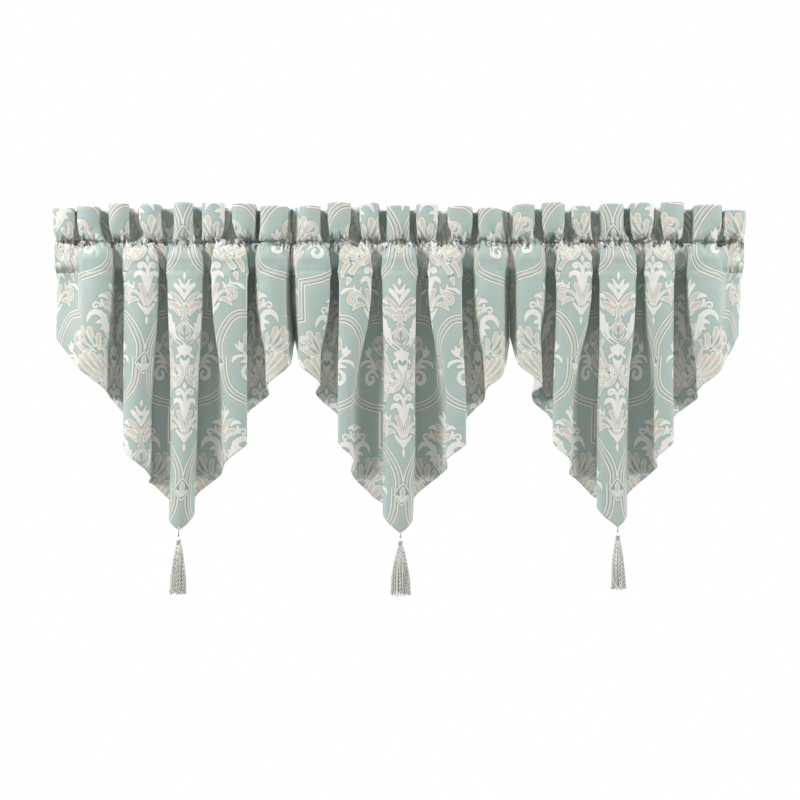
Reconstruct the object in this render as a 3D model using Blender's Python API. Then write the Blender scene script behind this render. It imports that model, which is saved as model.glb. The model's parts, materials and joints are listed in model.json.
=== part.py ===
"""Three ascot valances gathered side by side on one rod line, each with a tassel at its point.

Each valance is one panel of woven cloth. Its top is folded over to the back and stitched along two
lines, which makes a ruffled heading above a rod pocket. Below the pocket the cloth hangs in five deep
folds and ends in a straight V cut. A cord, a turned metal cap and a yarn skirt hang from the point.

The frame is in metres, with +Z up, +X to the right as seen from the room and +Y towards the wall.
The origin is the middle of the line that the rod's axis follows through the three pockets.
The tables below are in millimetres, and x in them is measured from each panel's own middle.
A cloth position is the place across the flat panel, from its centre line.
"""
import collections
import math
import random

import bmesh
import bpy
import numpy as np

MM = 0.001

# Flat cloth, in mm
CLOTH_WIDTH = 1300.0
CLOTH_HALF = CLOTH_WIDTH / 2
HEM_SLOPE = 0.76            # fall of the V cut for each mm across the flat cloth
CLOTH_STEP = 2.5            # spacing of the columns at which the folds are worked out

# Half thicknesses of the cloth solid, in mm
HALF_SINGLE = 1.0
HALF_STITCHED = 1.5
HALF_HEADING = 2.0

# Heights of the stitch lines and of the folds' stations, in mm above the rod's axis
HEADING_SEAM = 38.0
POCKET_SEAM = -38.0
UPPER_STATION = -85.0
POCKET_FOOT = -56.0         # just below the pocket seam, where the folds open again
FOOT_SHARE = 0.75           # share of the upper station's folds at the pocket's foot
SETTLE_DROP = 330.0         # below the upper station the folds settle over this drop
DRIFT_REACH = 60.0          # cloth each side of the centre line that leans with the point
DRIFT_FROM = 0.6            # share of the body's height above which nothing leans

# Rows of the heading: share of its height, share of the folds' depth, share of the pocket's shape
HEADING_ROWS = ((1.0, 1.0, 0.0), (0.62, 0.96, 0.0), (0.26, 0.84, 0.2))

# Rows of the pocket: height, share of the pocket's shape, share of the ridges' stand-off at front, at back
POCKET_ROWS = ((17.0, 0.85, 0.86, 0.8), (-3.0, 1.0, 1.0, 1.0), (-20.0, 1.0, 0.92, 0.8))

# Rows of the body: share of the way from the upper station to the hem
BODY_ROWS = (0.0, 0.18, 0.42, 0.7, 1.0)

# Room for the rod, in mm
ROD_CLEAR = 14.5            # mid-line of a pocket wall where it lies against the rod
POCKET_RIDGE = 35.0         # how far the pocket's front ridges stand off the rod
POCKET_BACK_RIDGE = 26.0    # the same for the ridges at the back
SEAM_MEAN = -12.0           # mean depth of the stitch lines
HEADING_PINCH = 0.35        # share of the folds' depth that is left at the heading seam
POCKET_PINCH = 0.85         # the same at the pocket seam
RIDGE_FLOOR = 10.0          # a place of the upper body this far back counts as a valley
RIDGE_DEPTH = 60.0          # and one this far in front of it as a ridge

# Shape of a fold, in mm
CREST_BULGE = 0.42          # share of a ridge's spare cloth that rounds its front
CREST_BULGE_RANGE = (10.0, 44.0)
FLOOR_CURVE = 3.0           # how much a valley's floor is hollowed
TUCK_LIMIT = 15.0           # most that hidden cloth tucks in behind a ridge
TUCK_SHARE = 0.26           # the same, as a share of the ridge's width

HEADING_CREST = -36.0
HEADING_FLOOR = 14.0
NARROW_GAP_FLOOR = -14.0    # depth of a gap too narrow to reach the heading's floor
GAP_INSET = 2.5             # how far a gap's floor ends short of the ridges beside it
GAP_CLOTH = 0.38            # share of the cloth between two ridges on each side of the gap's floor
HEADING_HALF_CLOTH = 33.0   # cloth on half of a heading ridge's front
HEADING_SHOULDER = 2.0      # how much lower a heading ridge ends at its sides than at its middle
HEADING_DIP = 8.0           # how much lower the heading's valleys end than its ridges

# The upper body's folds: fold, kind, depth
UPPER_FOLDS = (("A", "ridge", -47), ("AB", "valley", 24), ("B", "ridge", -52), ("BC", "valley", 10),
               ("C", "ridge", -50), ("CD", "valley", 10), ("D", "ridge", -53), ("DE", "valley", 24),
               ("E", "ridge", -48))

# Cloth at the left and right end of each valley's floor in the upper body
VALLEY_CLOTH = {"AB": (-418, -364), "BC": (-160, -116), "CD": (116, 160), "DE": (354, 408)}

# Depth of each fold where it meets the hem
HEM_DEPTH = {"A": -42, "AB": 16, "B": -48, "BC": 6, "C": -48, "CD": 12, "D": -46, "DE": 18, "E": -42}

# One side edge: x in the heading, in the pocket, in the upper body and at the hem, depth in the heading,
# in the upper body and at the hem, and height of the heading's corner
Edge = collections.namedtuple("Edge", "head_x pocket_x upper_x hem_x head_y upper_y hem_y corner")

PANELS = {
    "left": {
        "middle": -590.0,
        "tip_x": 20.0,
        "tip_z": -706.0,
        # heading ridges: middle, width, top, cloth at the middle
        "heading": ((-218, 55, 130, -512), (-138, 50, 137, -378), (-58, 52, 136, -142), (29, 47, 140, 0),
                    (107, 55, 140, 150), (186, 58, 137, 368), (263, 65, 131, 487)),
        # heading ridge at the outer side edge: cloth at the left and right side, left side, right side, top
        "flap": ((-640, -580, -307, -252, 126),),
        # upper body ridges A to E: left side, right side, cloth at the left side, cloth at the right side
        "upper": ((-241, -152, -560, -438), (-125, -35, -295, -177), (-11, 81, -52, 52),
                  (105, 195, 218, 308), (216, 299, 442, 560)),
        # folds at the hem: fold, left side, right side, cloth at the left side, cloth at the right side
        "hem": (("A", -243, -171, -556, -473), ("AB", -168, -137, -455, -403),
                ("B", -127, -55, -291, -172), ("BC", -51, -14, -150, -106),
                ("C", -3, 64, -62, 52), ("CD", 64, 124, 120, 187),
                ("D", 136, 195, 224, 294), ("DE", 197, 233, 403, 442),
                ("E", 244, 306, 484, 564)),
        "edges": (Edge(-309, -306, -305, -305, 8, 14, 10, 117),
                  Edge(305.4, 305.6, 305.6, 315, 14, 24, 26, 126)),
    },
    "middle": {
        "middle": 0.0,
        "tip_x": 1.0,
        "tip_z": -713.5,
        "heading": ((-234, 53, 131, -533), (-158, 57, 140, -378), (-80, 47, 139, -142), (-4, 55, 132, -10),
                    (70, 53, 136, 150), (155, 62, 130, 355), (230, 52, 126, 493)),
        "flap": (),
        "upper": ((-264, -181, -570, -478), (-157, -74, -310, -218), (-46, 43, -52, 52),
                  (75, 159, 214, 310), (192, 273, 436, 560)),
        "hem": (("A", -260, -206, -577, -504), ("AB", -203, -164, -447, -403),
                ("B", -160, -119, -312, -244), ("BC", -112, -65, -174, -114),
                ("C", -41, 38, -68, 44), ("CD", 44, 107, 128, 197),
                ("D", 119, 170, 247, 302), ("DE", 175, 219, 390, 452),
                ("E", 222, 266, 484, 540)),
        "edges": (Edge(-283.4, -283.6, -283.6, -273, 14, 24, 26, 128),
                  Edge(283.4, 283.6, 283.6, 286.5, 14, 26, 26, 118)),
    },
    "right": {
        "middle": 589.0,
        "tip_x": -28.0,
        "tip_z": -698.0,
        "heading": ((-266, 49, 135, -530), (-191, 55, 140, -383), (-121, 47, 131, -145), (-40, 56, 137, 0),
                    (38, 58, 139, 150), (116, 56, 141, 342), (208, 68, 134, 480)),
        "flap": ((528, 600, 248, 305, 120),),
        "upper": ((-290, -212, -562, -436), (-185, -94, -292, -181), (-73, 20, -52, 52),
                  (45, 120, 181, 293), (156, 245, 432, 546)),
        "hem": (("A", -285, -220, -559, -478), ("AB", -241, -198, -426, -372),
                ("B", -192, -143, -291, -208), ("BC", -130, -86, -158, -100),
                ("C", -78, -1, -73, 52), ("CD", 10, 68, 118, 184),
                ("D", 69, 118, 224, 296), ("DE", 130, 172, 380, 421),
                ("E", 180, 247, 458, 548)),
        "edges": (Edge(-304.4, -304.6, -304.6, -301, 14, 24, 26, 121),
                  Edge(309, 303, 299, 293, 8, 14, 10, 109)),
    },
}

COLUMN_TOLERANCE = 5.7      # how far a facet may lie off the fold, in mm
CREASE_ANGLE = math.radians(50)

# Tassel sizes, in mm
TOUCH_GAP = 0.3
CORD_RADIUS = 0.9
KNOT_RADIUS = 2.4
KNOT_STEPS = 6
CAP_HOLE = 1.5
CAP_BORE = 5.0
CAP_BORE_DEPTH = 10.5
HEAD_RADIUS = 4.7
ROOT_RADIUS = 5.8
ROOT_FLARE = 0.6            # drop over which the head widens to the roots
ROOT_HEIGHT = 2.4
INNER_ROOTS = 0.52          # radius of the inner ring of roots, as a share of the root radius
CAP_HEIGHT = 22.0
CORD_SIDES = 6
CAP_SIDES = 12
HEAD_SIDES = 12
STRAND_GAP = 0.86           # share of a root facet that its strand keeps
STRAND_FILL = 0.74          # the same along the strand's length
STRAND_UNEVEN = 5.0         # most by which a strand is shorter than the longest
STRAND_SWAY = 1.0           # most by which a strand's foot hangs aside

# Outside of the metal cap below its top: radius, drop
CAP_PROFILE = ((2.4, 0.0), (3.2, 2.5), (5.4, 6.8), (6.3, 8.4), (5.7, 9.6), (5.9, 11.0), (5.9, 20.6),
               (6.4, 21.2), (6.4, 22.0))

# Skirt: share of its length, share of its lower radius
SKIRT_PROFILE = ((0.18, 0.47), (0.55, 0.78), (1.0, 1.0))

# Tassels: drop of the hanging cord to the cap, length and lower radius of the skirt, lean at its foot,
# and the number from which its strands' unevenness is drawn
TASSELS = {
    "left": (16.0, 129.0, 22.0, -3.0, 15),
    "middle": (12.0, 129.0, 26.5, 0.0, 17),
    "right": (13.0, 128.0, 19.5, 1.5, 16),
}

CLOTH_COLOUR = (0.43, 0.54, 0.50, 1.0)
YARN_COLOUR = (0.46, 0.48, 0.44, 1.0)
METAL_COLOUR = (0.80, 0.80, 0.80, 1.0)


def clear_scene():
    for thing in list(bpy.data.objects):
        bpy.data.objects.remove(thing, do_unlink=True)


def make_material(name, colour, roughness, metallic=0.0):
    material = bpy.data.materials.new(name)
    material.use_nodes = True
    shader = material.node_tree.nodes["Principled BSDF"]
    shader.inputs["Base Color"].default_value = colour
    shader.inputs["Roughness"].default_value = roughness
    shader.inputs["Metallic"].default_value = metallic
    material.diffuse_color = colour
    return material


def ease(share):
    """Goes smoothly from 0 to 1 as share does."""
    share = np.clip(share, 0.0, 1.0)
    return share * share * (3.0 - 2.0 * share)


def curve_through(at, knots):
    """Smooth curve through (position, value) knots that adds no humps of its own between them."""
    knots = sorted(knots)
    place = np.array([knot[0] for knot in knots], dtype=float)
    value = np.array([knot[1] for knot in knots], dtype=float)
    step = np.diff(place)
    rise = np.diff(value) / step
    slope = np.zeros(len(place))
    slope[0] = rise[0]
    slope[-1] = rise[-1]
    for i in range(1, len(place) - 1):
        if rise[i - 1] * rise[i] > 0:
            weight = 2 * step[i] + step[i - 1]
            other = step[i] + 2 * step[i - 1]
            slope[i] = (weight + other) / (weight / rise[i - 1] + other / rise[i])
    span = np.clip(np.searchsorted(place, at, side="right") - 1, 0, len(step) - 1)
    share = (at - place[span]) / step[span]
    rest = 1 - share
    before = (1 + 2 * share) * rest ** 2 * value[span] + share * rest ** 2 * step[span] * slope[span]
    after = (3 - 2 * share) * share ** 2 * value[span + 1]
    after = after - rest * share ** 2 * step[span] * slope[span + 1]
    return before + after


def ridge_knots(left, right, cloth_left, cloth_right, crest, bulge):
    """Round front of one ridge, as (cloth, x, y) knots."""
    middle = (left + right) / 2
    half = (right - left) / 2
    cloth_middle = (cloth_left + cloth_right) / 2
    cloth_half = (cloth_right - cloth_left) / 2
    knots = []
    quarter = math.sin(math.pi / 4)
    crown = math.hypot(half * quarter, bulge * (1 - quarter))
    flank = math.hypot(half * (1 - quarter), bulge * quarter)
    share = crown / (crown + flank)
    for turn, cloth_share in ((-1, -1), (-0.5, -share), (0, 0), (0.5, share), (1, 1)):
        angle = turn * math.pi / 2
        x = middle + half * math.sin(angle)
        y = crest + bulge * (1 - math.cos(angle))
        knots.append((cloth_middle + cloth_half * cloth_share, x, y))
    return knots


def valley_knots(left, right, cloth_left, cloth_right, floor):
    """Hollow floor of one valley, as (cloth, x, y) knots."""
    return [(cloth_left, left, floor - FLOOR_CURVE),
            ((cloth_left + cloth_right) / 2, (left + right) / 2, floor),
            (cloth_right, right, floor - FLOOR_CURVE)]


def tuck_knot(start, end, inward, ridge_width):
    """Middle of the cloth hidden between a ridge's side and a valley's floor."""
    length = abs(end[0] - start[0])
    reach = math.hypot(end[1] - start[1], end[2] - start[2])
    spare = 0.5 * math.sqrt(max(length ** 2 - reach ** 2, 0.0))
    tuck = min(spare, TUCK_LIMIT, TUCK_SHARE * ridge_width)
    return ((start[0] + end[0]) / 2, (start[1] + end[1]) / 2 + inward * tuck, (start[2] + end[2]) / 2)


def folded_plan(faces, edges):
    """Joins ridge and valley faces and two side edges into knots of one plan curve.

    faces: (kind, left, right, cloth at left, cloth at right, depth) from left to right.
    edges: (x, y) of the two side edges.
    """
    knots = [(-CLOTH_HALF, edges[0][0], edges[0][1])]
    before = None
    for kind, left, right, cloth_left, cloth_right, depth in faces:
        if kind == "ridge":
            spare = math.sqrt(max((cloth_right - cloth_left) ** 2 - (right - left) ** 2, 0.0))
            bulge = min(max(CREST_BULGE * spare, CREST_BULGE_RANGE[0]), CREST_BULGE_RANGE[1])
            group = ridge_knots(left, right, cloth_left, cloth_right, depth, bulge)
        else:
            group = valley_knots(left, right, cloth_left, cloth_right, depth)
        if before is not None:
            ridge_before = before[0] == "ridge"
            width = before[1] if ridge_before else right - left
            knots.append(tuck_knot(knots[-1], group[0], -1 if ridge_before else 1, width))
        knots.extend(group)
        before = (kind, right - left)
    knots.append((CLOTH_HALF, edges[1][0], edges[1][1]))
    return knots


def plan_curve(cloth, knots):
    """x and y of the plan curve at the given cloth positions."""
    x = curve_through(cloth, [(knot[0], knot[1]) for knot in knots])
    y = curve_through(cloth, [(knot[0], knot[2]) for knot in knots])
    return x, y


def upper_faces(panel):
    """The upper body's ridges where the panel's table has them, with the valleys between."""
    sides = panel["upper"]
    faces = []
    for i, (fold, kind, depth) in enumerate(UPPER_FOLDS):
        if kind == "ridge":
            left, right, cloth_left, cloth_right = sides[i // 2]
        else:
            left = sides[i // 2][1]
            right = sides[i // 2 + 1][0]
            cloth_left, cloth_right = VALLEY_CLOTH[fold]
        faces.append((kind, left, right, cloth_left, cloth_right, depth))
    return faces


def hem_faces(panel):
    faces = []
    for fold, left, right, cloth_left, cloth_right in panel["hem"]:
        kind = "ridge" if len(fold) == 1 else "valley"
        faces.append((kind, left, right, cloth_left, cloth_right, HEM_DEPTH[fold]))
    return faces


def heading_faces(panel):
    """The heading's ridges and the flat gaps between them, and (cloth, height) knots of its top edge."""
    left_edge, right_edge = panel["edges"]
    ridges = list(panel["flap"])
    for middle, width, top, cloth in panel["heading"]:
        ridges.append((cloth - HEADING_HALF_CLOTH, cloth + HEADING_HALF_CLOTH,
                       middle - width / 2, middle + width / 2, top))
    ridges.sort()
    faces = []
    tops = [(-CLOTH_HALF, left_edge.corner)]
    for i, (cloth_left, cloth_right, left, right, top) in enumerate(ridges):
        if i:
            _start, cloth_before, _left, before, top_before = ridges[i - 1]
            inset = min(GAP_INSET, (left - before) / 4)
            rest = (cloth_left - cloth_before) * GAP_CLOTH
            depth = HEADING_FLOOR if left - before > 4 * GAP_INSET else NARROW_GAP_FLOOR
            faces.append(("valley", before + inset, left - inset, cloth_before + rest, cloth_left - rest,
                          depth))
            tops.append(((cloth_before + cloth_left) / 2, min(top_before, top) - HEADING_DIP))
        faces.append(("ridge", left, right, cloth_left, cloth_right, HEADING_CREST))
        tops.append((cloth_left, top - HEADING_SHOULDER))
        tops.append(((cloth_left + cloth_right) / 2, top))
        tops.append((cloth_right, top - HEADING_SHOULDER))
    tops.append((CLOTH_HALF, right_edge.corner))
    return faces, tops


def panel_sheets(panel):
    """Mid surfaces of one panel on fine columns, as arrays of rows, columns and x, y, z.

    Gives the front sheet from the heading's top to the hem, the pocket's back sheet from seam to seam,
    and the rows of the front sheet at which the two seams lie.
    """
    cloth = np.arange(-CLOTH_HALF, CLOTH_HALF + CLOTH_STEP / 2, CLOTH_STEP)
    left_edge, right_edge = panel["edges"]
    head_faces, top_knots = heading_faces(panel)
    head_x, head_y = plan_curve(cloth, folded_plan(head_faces, (
        (left_edge.head_x, left_edge.head_y), (right_edge.head_x, right_edge.head_y))))
    top = curve_through(cloth, top_knots)
    pocket_x, _y = plan_curve(cloth, folded_plan(upper_faces(panel), (
        (left_edge.pocket_x, -ROD_CLEAR), (right_edge.pocket_x, -ROD_CLEAR))))
    upper_x, upper_y = plan_curve(cloth, folded_plan(upper_faces(panel), (
        (left_edge.upper_x, left_edge.upper_y), (right_edge.upper_x, right_edge.upper_y))))
    hem_x, hem_y = plan_curve(cloth, folded_plan(hem_faces(panel), (
        (left_edge.hem_x, left_edge.hem_y), (right_edge.hem_x, right_edge.hem_y))))
    ridge = np.clip((RIDGE_FLOOR - upper_y) / RIDGE_DEPTH, 0.0, 1.0)
    hem_z = panel["tip_z"] + HEM_SLOPE * np.abs(cloth)

    rows = []
    for share, depth_left, body_share in HEADING_ROWS:
        x = (1 - body_share) * head_x + body_share * pocket_x
        y = SEAM_MEAN + depth_left * (head_y - SEAM_MEAN)
        rows.append((x, y, HEADING_SEAM + share * (top - HEADING_SEAM)))
    heading_seam = len(rows)
    seam_y = SEAM_MEAN + HEADING_PINCH * ((head_y + upper_y) / 2 - SEAM_MEAN)
    seam = ((head_x + pocket_x) / 2, seam_y, np.full_like(cloth, HEADING_SEAM))
    rows.append(seam)
    back_rows = [seam]
    for height, body_share, front_share, back_share in POCKET_ROWS:
        x = (1 - body_share) * head_x + body_share * pocket_x
        z = np.full_like(cloth, height)
        rows.append((x, -ROD_CLEAR - POCKET_RIDGE * front_share * ridge, z))
        back_rows.append((x, ROD_CLEAR + POCKET_BACK_RIDGE * back_share * (1 - ridge), z))
    pocket_seam = len(rows)
    low_y = SEAM_MEAN + POCKET_PINCH * (upper_y - SEAM_MEAN)
    seam = (pocket_x, low_y, np.full_like(cloth, POCKET_SEAM))
    rows.append(seam)
    back_rows.append(seam)
    foot_y = (1 - FOOT_SHARE) * low_y + FOOT_SHARE * upper_y
    rows.append(((pocket_x + upper_x) / 2, foot_y, np.full_like(cloth, POCKET_FOOT)))

    settle = np.minimum(SETTLE_DROP, UPPER_STATION - hem_z)
    lean = panel["tip_x"] - np.interp(0.0, cloth, hem_x)
    for share in BODY_ROWS:
        z = UPPER_STATION + share * (hem_z - UPPER_STATION)
        settled = ease((UPPER_STATION - z) / settle)
        drift = np.exp(-(cloth / DRIFT_REACH) ** 2) * ease((share - DRIFT_FROM) / (1 - DRIFT_FROM))
        x = (1 - settled) * upper_x + settled * hem_x + drift * lean
        y = (1 - settled) * upper_y + settled * hem_y
        rows.append((x, y, z))
    front = np.array([np.stack(row, axis=-1) for row in rows])
    back = np.array([np.stack(row, axis=-1) for row in back_rows])
    return front, back, heading_seam, pocket_seam


def halfway(sheet, axis):
    """Direction of a faceted sheet at each point, halfway between the two steps that meet there."""
    step = np.diff(sheet, axis=axis)
    step = step / np.maximum(np.linalg.norm(step, axis=-1, keepdims=True), 1e-6)
    first = np.take(step, [0], axis=axis)
    last = np.take(step, [-1], axis=axis)
    return np.concatenate((first, step), axis=axis) + np.concatenate((step, last), axis=axis)


def facing(sheet):
    """Unit normals of a sheet, towards the room on its ridges.

    They point straight to the room at the side edges, so that neighbouring panels stay apart there.
    """
    normal = np.cross(halfway(sheet, 0), halfway(sheet, 1))
    length = np.linalg.norm(normal, axis=-1, keepdims=True)
    normal = np.where(length > 1e-6, normal / np.maximum(length, 1e-6), (0.0, -1.0, 0.0))
    normal[:, (0, -1)] = (0.0, -1.0, 0.0)
    return normal


def shorter_falls(sheet):
    """True for each cell whose shorter diagonal falls to the right."""
    falling = np.linalg.norm(sheet[1:, 1:] - sheet[:-1, :-1], axis=-1)
    rising = np.linalg.norm(sheet[1:, :-1] - sheet[:-1, 1:], axis=-1)
    return falling <= rising


def chosen_columns(sheet, tolerance):
    """Columns that keep every row of the sheet within the tolerance; the centre line is one of them."""
    last = sheet.shape[1] - 1
    centre = last // 2
    kept = {0, centre, last}
    spans = [(0, centre), (centre, last)]
    while spans:
        first, end = spans.pop()
        if end - first < 2:
            continue
        share = np.linspace(0.0, 1.0, end - first + 1)[None, :, None]
        chord = sheet[:, first:first + 1] * (1 - share) + sheet[:, end:end + 1] * share
        off = np.linalg.norm(sheet[:, first:end + 1] - chord, axis=-1).max(axis=0)
        worst = int(np.argmax(off))
        if off[worst] > tolerance:
            kept.add(first + worst)
            spans.append((first, first + worst))
            spans.append((first + worst, end))
    return sorted(kept)


def valance_mesh(name, panel):
    """One closed solid: the heading, the open rod pocket and the hanging body of a panel."""
    front, back, heading_seam, pocket_seam = panel_sheets(panel)
    centre = front.shape[1] // 2
    columns = chosen_columns(front, COLUMN_TOLERANCE)
    front = front[:, columns]
    back = back[:, columns]
    front_normal = facing(front)
    back_normal = facing(back)

    outside = []
    behind = []
    inside_front = []
    for i in range(len(front)):
        if i <= heading_seam:
            half = HALF_HEADING
        elif i == pocket_seam:
            half = HALF_STITCHED
        else:
            half = HALF_SINGLE
        outside.append(front[i] + front_normal[i] * half)
        if heading_seam < i < pocket_seam:
            inside_front.append(front[i] - front_normal[i] * HALF_SINGLE)
            j = i - heading_seam
            behind.append(back[j] - back_normal[j] * HALF_SINGLE)
        else:
            behind.append(front[i] - front_normal[i] * half)
    inside_back = [back[j] + back_normal[j] * HALF_SINGLE for j in range(1, len(back) - 1)]
    tunnel = [front[heading_seam]] + inside_front + [front[pocket_seam]] + inside_back[::-1]

    bm = bmesh.new()
    shift = np.array((panel["middle"], 0.0, 0.0))

    def add_row(points):
        return [bm.verts.new((point + shift) * MM) for point in points]

    skin_front = [add_row(row) for row in outside]
    skin_back = [add_row(row) for row in behind]
    skin_tunnel = [add_row(row) for row in tunnel]
    wall_rows = pocket_seam - heading_seam

    # Both sides of a wall are cut along the same diagonals, so that they stay one thickness apart
    def close(rows, falls):
        for upper, lower, row_falls in zip(rows, rows[1:], falls):
            for j in range(len(columns) - 1):
                corners = (upper[j], upper[j + 1], lower[j + 1], lower[j])
                first = 0 if row_falls[j] else 1
                bm.faces.new([corners[first - k] for k in (0, 1, 2)])
                bm.faces.new([corners[first - k] for k in (2, 3, 4)])

    front_falls = shorter_falls(front)
    back_falls = shorter_falls(back)
    pocket_rows = slice(heading_seam, pocket_seam)
    behind_falls = front_falls.copy()
    behind_falls[pocket_rows] = back_falls
    close(skin_front, front_falls)
    close(skin_back, behind_falls)
    close(skin_tunnel[:wall_rows + 1], front_falls[pocket_rows])
    close([skin_tunnel[0]] + skin_tunnel[:wall_rows:-1] + [skin_tunnel[wall_rows]], back_falls)
    close([skin_front[0], skin_back[0]], front_falls[:1])
    close([skin_front[-1], skin_back[-1]], front_falls[-1:])
    for j in (0, len(columns) - 1):
        for i in range(len(front) - 1):
            above, below = skin_front[i][j], skin_front[i + 1][j]
            back_above, back_below = skin_back[i][j], skin_back[i + 1][j]
            if i == heading_seam - 1:
                bm.faces.new((above, below, skin_tunnel[0][j], back_below, back_above))
            elif i == pocket_seam:
                bm.faces.new((above, below, back_below, back_above, skin_tunnel[wall_rows][j]))
            elif heading_seam <= i < pocket_seam:
                k = i - heading_seam
                inner = skin_tunnel[k][j], skin_tunnel[k + 1][j]
                far = skin_tunnel[-k][j] if k else skin_tunnel[0][j]
                bm.faces.new((above, below, inner[1], inner[0]))
                bm.faces.new((back_above, back_below, skin_tunnel[-k - 1][j], far))
            else:
                bm.faces.new((above, below, back_below, back_above))
    bmesh.ops.recalc_face_normals(bm, faces=bm.faces)
    tip = front[-1][columns.index(centre)] + shift
    return finish_object(bm, name), tip


def finish_object(bm, name):
    mesh = bpy.data.meshes.new(name)
    bm.to_mesh(mesh)
    bm.free()
    mesh.shade_smooth()
    mesh.set_sharp_from_angle(angle=CREASE_ANGLE)
    thing = bpy.data.objects.new(name, mesh)
    bpy.context.scene.collection.objects.link(thing)
    return thing


def turned(name, profile, sides, at):
    """Solid turned from a closed profile of (radius, drop); a radius of 0 closes it on the axis."""
    bm = bmesh.new()
    rings = []
    for radius, drop in profile:
        if radius == 0:
            rings.append([bm.verts.new((at[0] * MM, at[1] * MM, (at[2] - drop) * MM))])
            continue
        ring = []
        for k in range(sides):
            angle = 2 * math.pi * (k + 0.5) / sides
            ring.append(bm.verts.new(((at[0] + radius * math.cos(angle)) * MM,
                                      (at[1] + radius * math.sin(angle)) * MM, (at[2] - drop) * MM)))
        rings.append(ring)
    pairs = list(zip(rings, rings[1:]))
    if len(rings[0]) > 1:
        pairs.append((rings[-1], rings[0]))
    for upper, lower in pairs:
        for k in range(sides):
            n = (k + 1) % sides
            corners = (upper[k % len(upper)], upper[n % len(upper)],
                       lower[n % len(lower)], lower[k % len(lower)])
            unique = list(dict.fromkeys(corners))
            if len(unique) > 2:
                bm.faces.new(unique)
    bmesh.ops.recalc_face_normals(bm, faces=bm.faces)
    return finish_object(bm, name)


def hanging_cord(name, top, drop):
    """Thin cord with a round knot just above the cap, down to the yarn head inside the cap."""
    knot_middle = drop - KNOT_RADIUS - TOUCH_GAP
    profile = [(0, TOUCH_GAP), (CORD_RADIUS, TOUCH_GAP)]
    for step in range(1, KNOT_STEPS):
        angle = math.pi * step / KNOT_STEPS
        radius = max(KNOT_RADIUS * math.sin(angle), CORD_RADIUS)
        profile.append((radius, knot_middle - KNOT_RADIUS * math.cos(angle)))
    end = drop + CAP_HEIGHT - CAP_BORE_DEPTH
    profile.extend([(CORD_RADIUS, end), (0, end)])
    return turned(name, profile, CORD_SIDES, top)


def metal_cap(name, top):
    """Turned cap with a hole for the cord and a bore for the yarn head."""
    profile = [(CAP_HOLE, 0.0)] + list(CAP_PROFILE)
    bore_top = CAP_HEIGHT - CAP_BORE_DEPTH - TOUCH_GAP
    profile.extend([(CAP_BORE, CAP_HEIGHT), (CAP_BORE, bore_top), (CAP_HOLE, bore_top)])
    return turned(name, profile, CAP_SIDES, top)


def skirt(name, cap_top, length, lower_radius, lean, seed):
    """Yarn head in the cap's bore, and below it strands that grow out of the head's facets."""
    draw = random.Random(seed)
    bm = bmesh.new()
    head_top = cap_top[2] - (CAP_HEIGHT - CAP_BORE_DEPTH) - TOUCH_GAP
    shoulder = cap_top[2] - CAP_HEIGHT - TOUCH_GAP
    root = shoulder - ROOT_HEIGHT

    def place(radius, angle, z):
        return bm.verts.new(((cap_top[0] + radius * math.cos(angle)) * MM,
                             (cap_top[1] + radius * math.sin(angle)) * MM, z * MM))

    turns = [2 * math.pi * k / HEAD_SIDES for k in range(HEAD_SIDES)]
    rings = [[place(radius, turn, z) for turn in turns]
             for radius, z in ((HEAD_RADIUS, head_top), (HEAD_RADIUS, shoulder),
                               (ROOT_RADIUS, shoulder - ROOT_FLARE), (ROOT_RADIUS, root))]
    bm.faces.new(rings[0])
    for upper, lower in zip(rings, rings[1:]):
        for k in range(HEAD_SIDES):
            n = (k + 1) % HEAD_SIDES
            bm.faces.new((upper[k], upper[n], lower[n], lower[k]))
    centre = bm.verts.new((cap_top[0] * MM, cap_top[1] * MM, root * MM))
    inner = [place(ROOT_RADIUS * INNER_ROOTS, turn + math.pi / HEAD_SIDES, root) for turn in turns]
    outer = rings[-1]
    roots = []
    for k in range(HEAD_SIDES):
        n = (k + 1) % HEAD_SIDES
        roots.append((centre, inner[k], inner[n]))
        roots.append((outer[k], outer[n], inner[k]))
        roots.append((inner[k], outer[n], inner[n]))
    axis = np.array((cap_top[0], cap_top[1]))
    for corners in roots:
        flat = np.array([(corner.co.x / MM, corner.co.y / MM) for corner in corners]) - axis
        middle = flat.mean(axis=0)
        ring = list(corners)
        hang = length - ROOT_HEIGHT - draw.uniform(0.0, STRAND_UNEVEN)
        sway = np.array([draw.uniform(-STRAND_SWAY, STRAND_SWAY) for _axis in range(2)])
        levels = [(0.0, 1.0, STRAND_GAP)]
        for share, wide in SKIRT_PROFILE:
            spread = wide * lower_radius / ROOT_RADIUS
            levels.append((share, spread, STRAND_FILL * spread))
        for share, spread, size in levels:
            points = middle * spread + (flat - middle) * size + sway * share
            points = points + axis + np.array((lean * share, 0.0))
            lower = [bm.verts.new((x * MM, y * MM, (root - hang * share) * MM)) for x, y in points]
            for k in range(3):
                n = (k + 1) % 3
                bm.faces.new((ring[k], ring[n], lower[n], lower[k]))
            ring = lower
        bm.faces.new(ring)
    bmesh.ops.recalc_face_normals(bm, faces=bm.faces)
    return finish_object(bm, name)


def build_tassel(side, tip, yarn, metal):
    drop, length, lower_radius, lean, seed = TASSELS[side]
    cap_top = (tip[0], tip[1], tip[2] - drop)
    cord = hanging_cord("tassel_cord_" + side, tip, drop)
    cap = metal_cap("tassel_cap_" + side, cap_top)
    yarn_skirt = skirt("tassel_skirt_" + side, cap_top, length, lower_radius, lean, seed)
    for thing, material in ((cord, yarn), (cap, metal), (yarn_skirt, yarn)):
        thing.data.materials.append(material)


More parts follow.
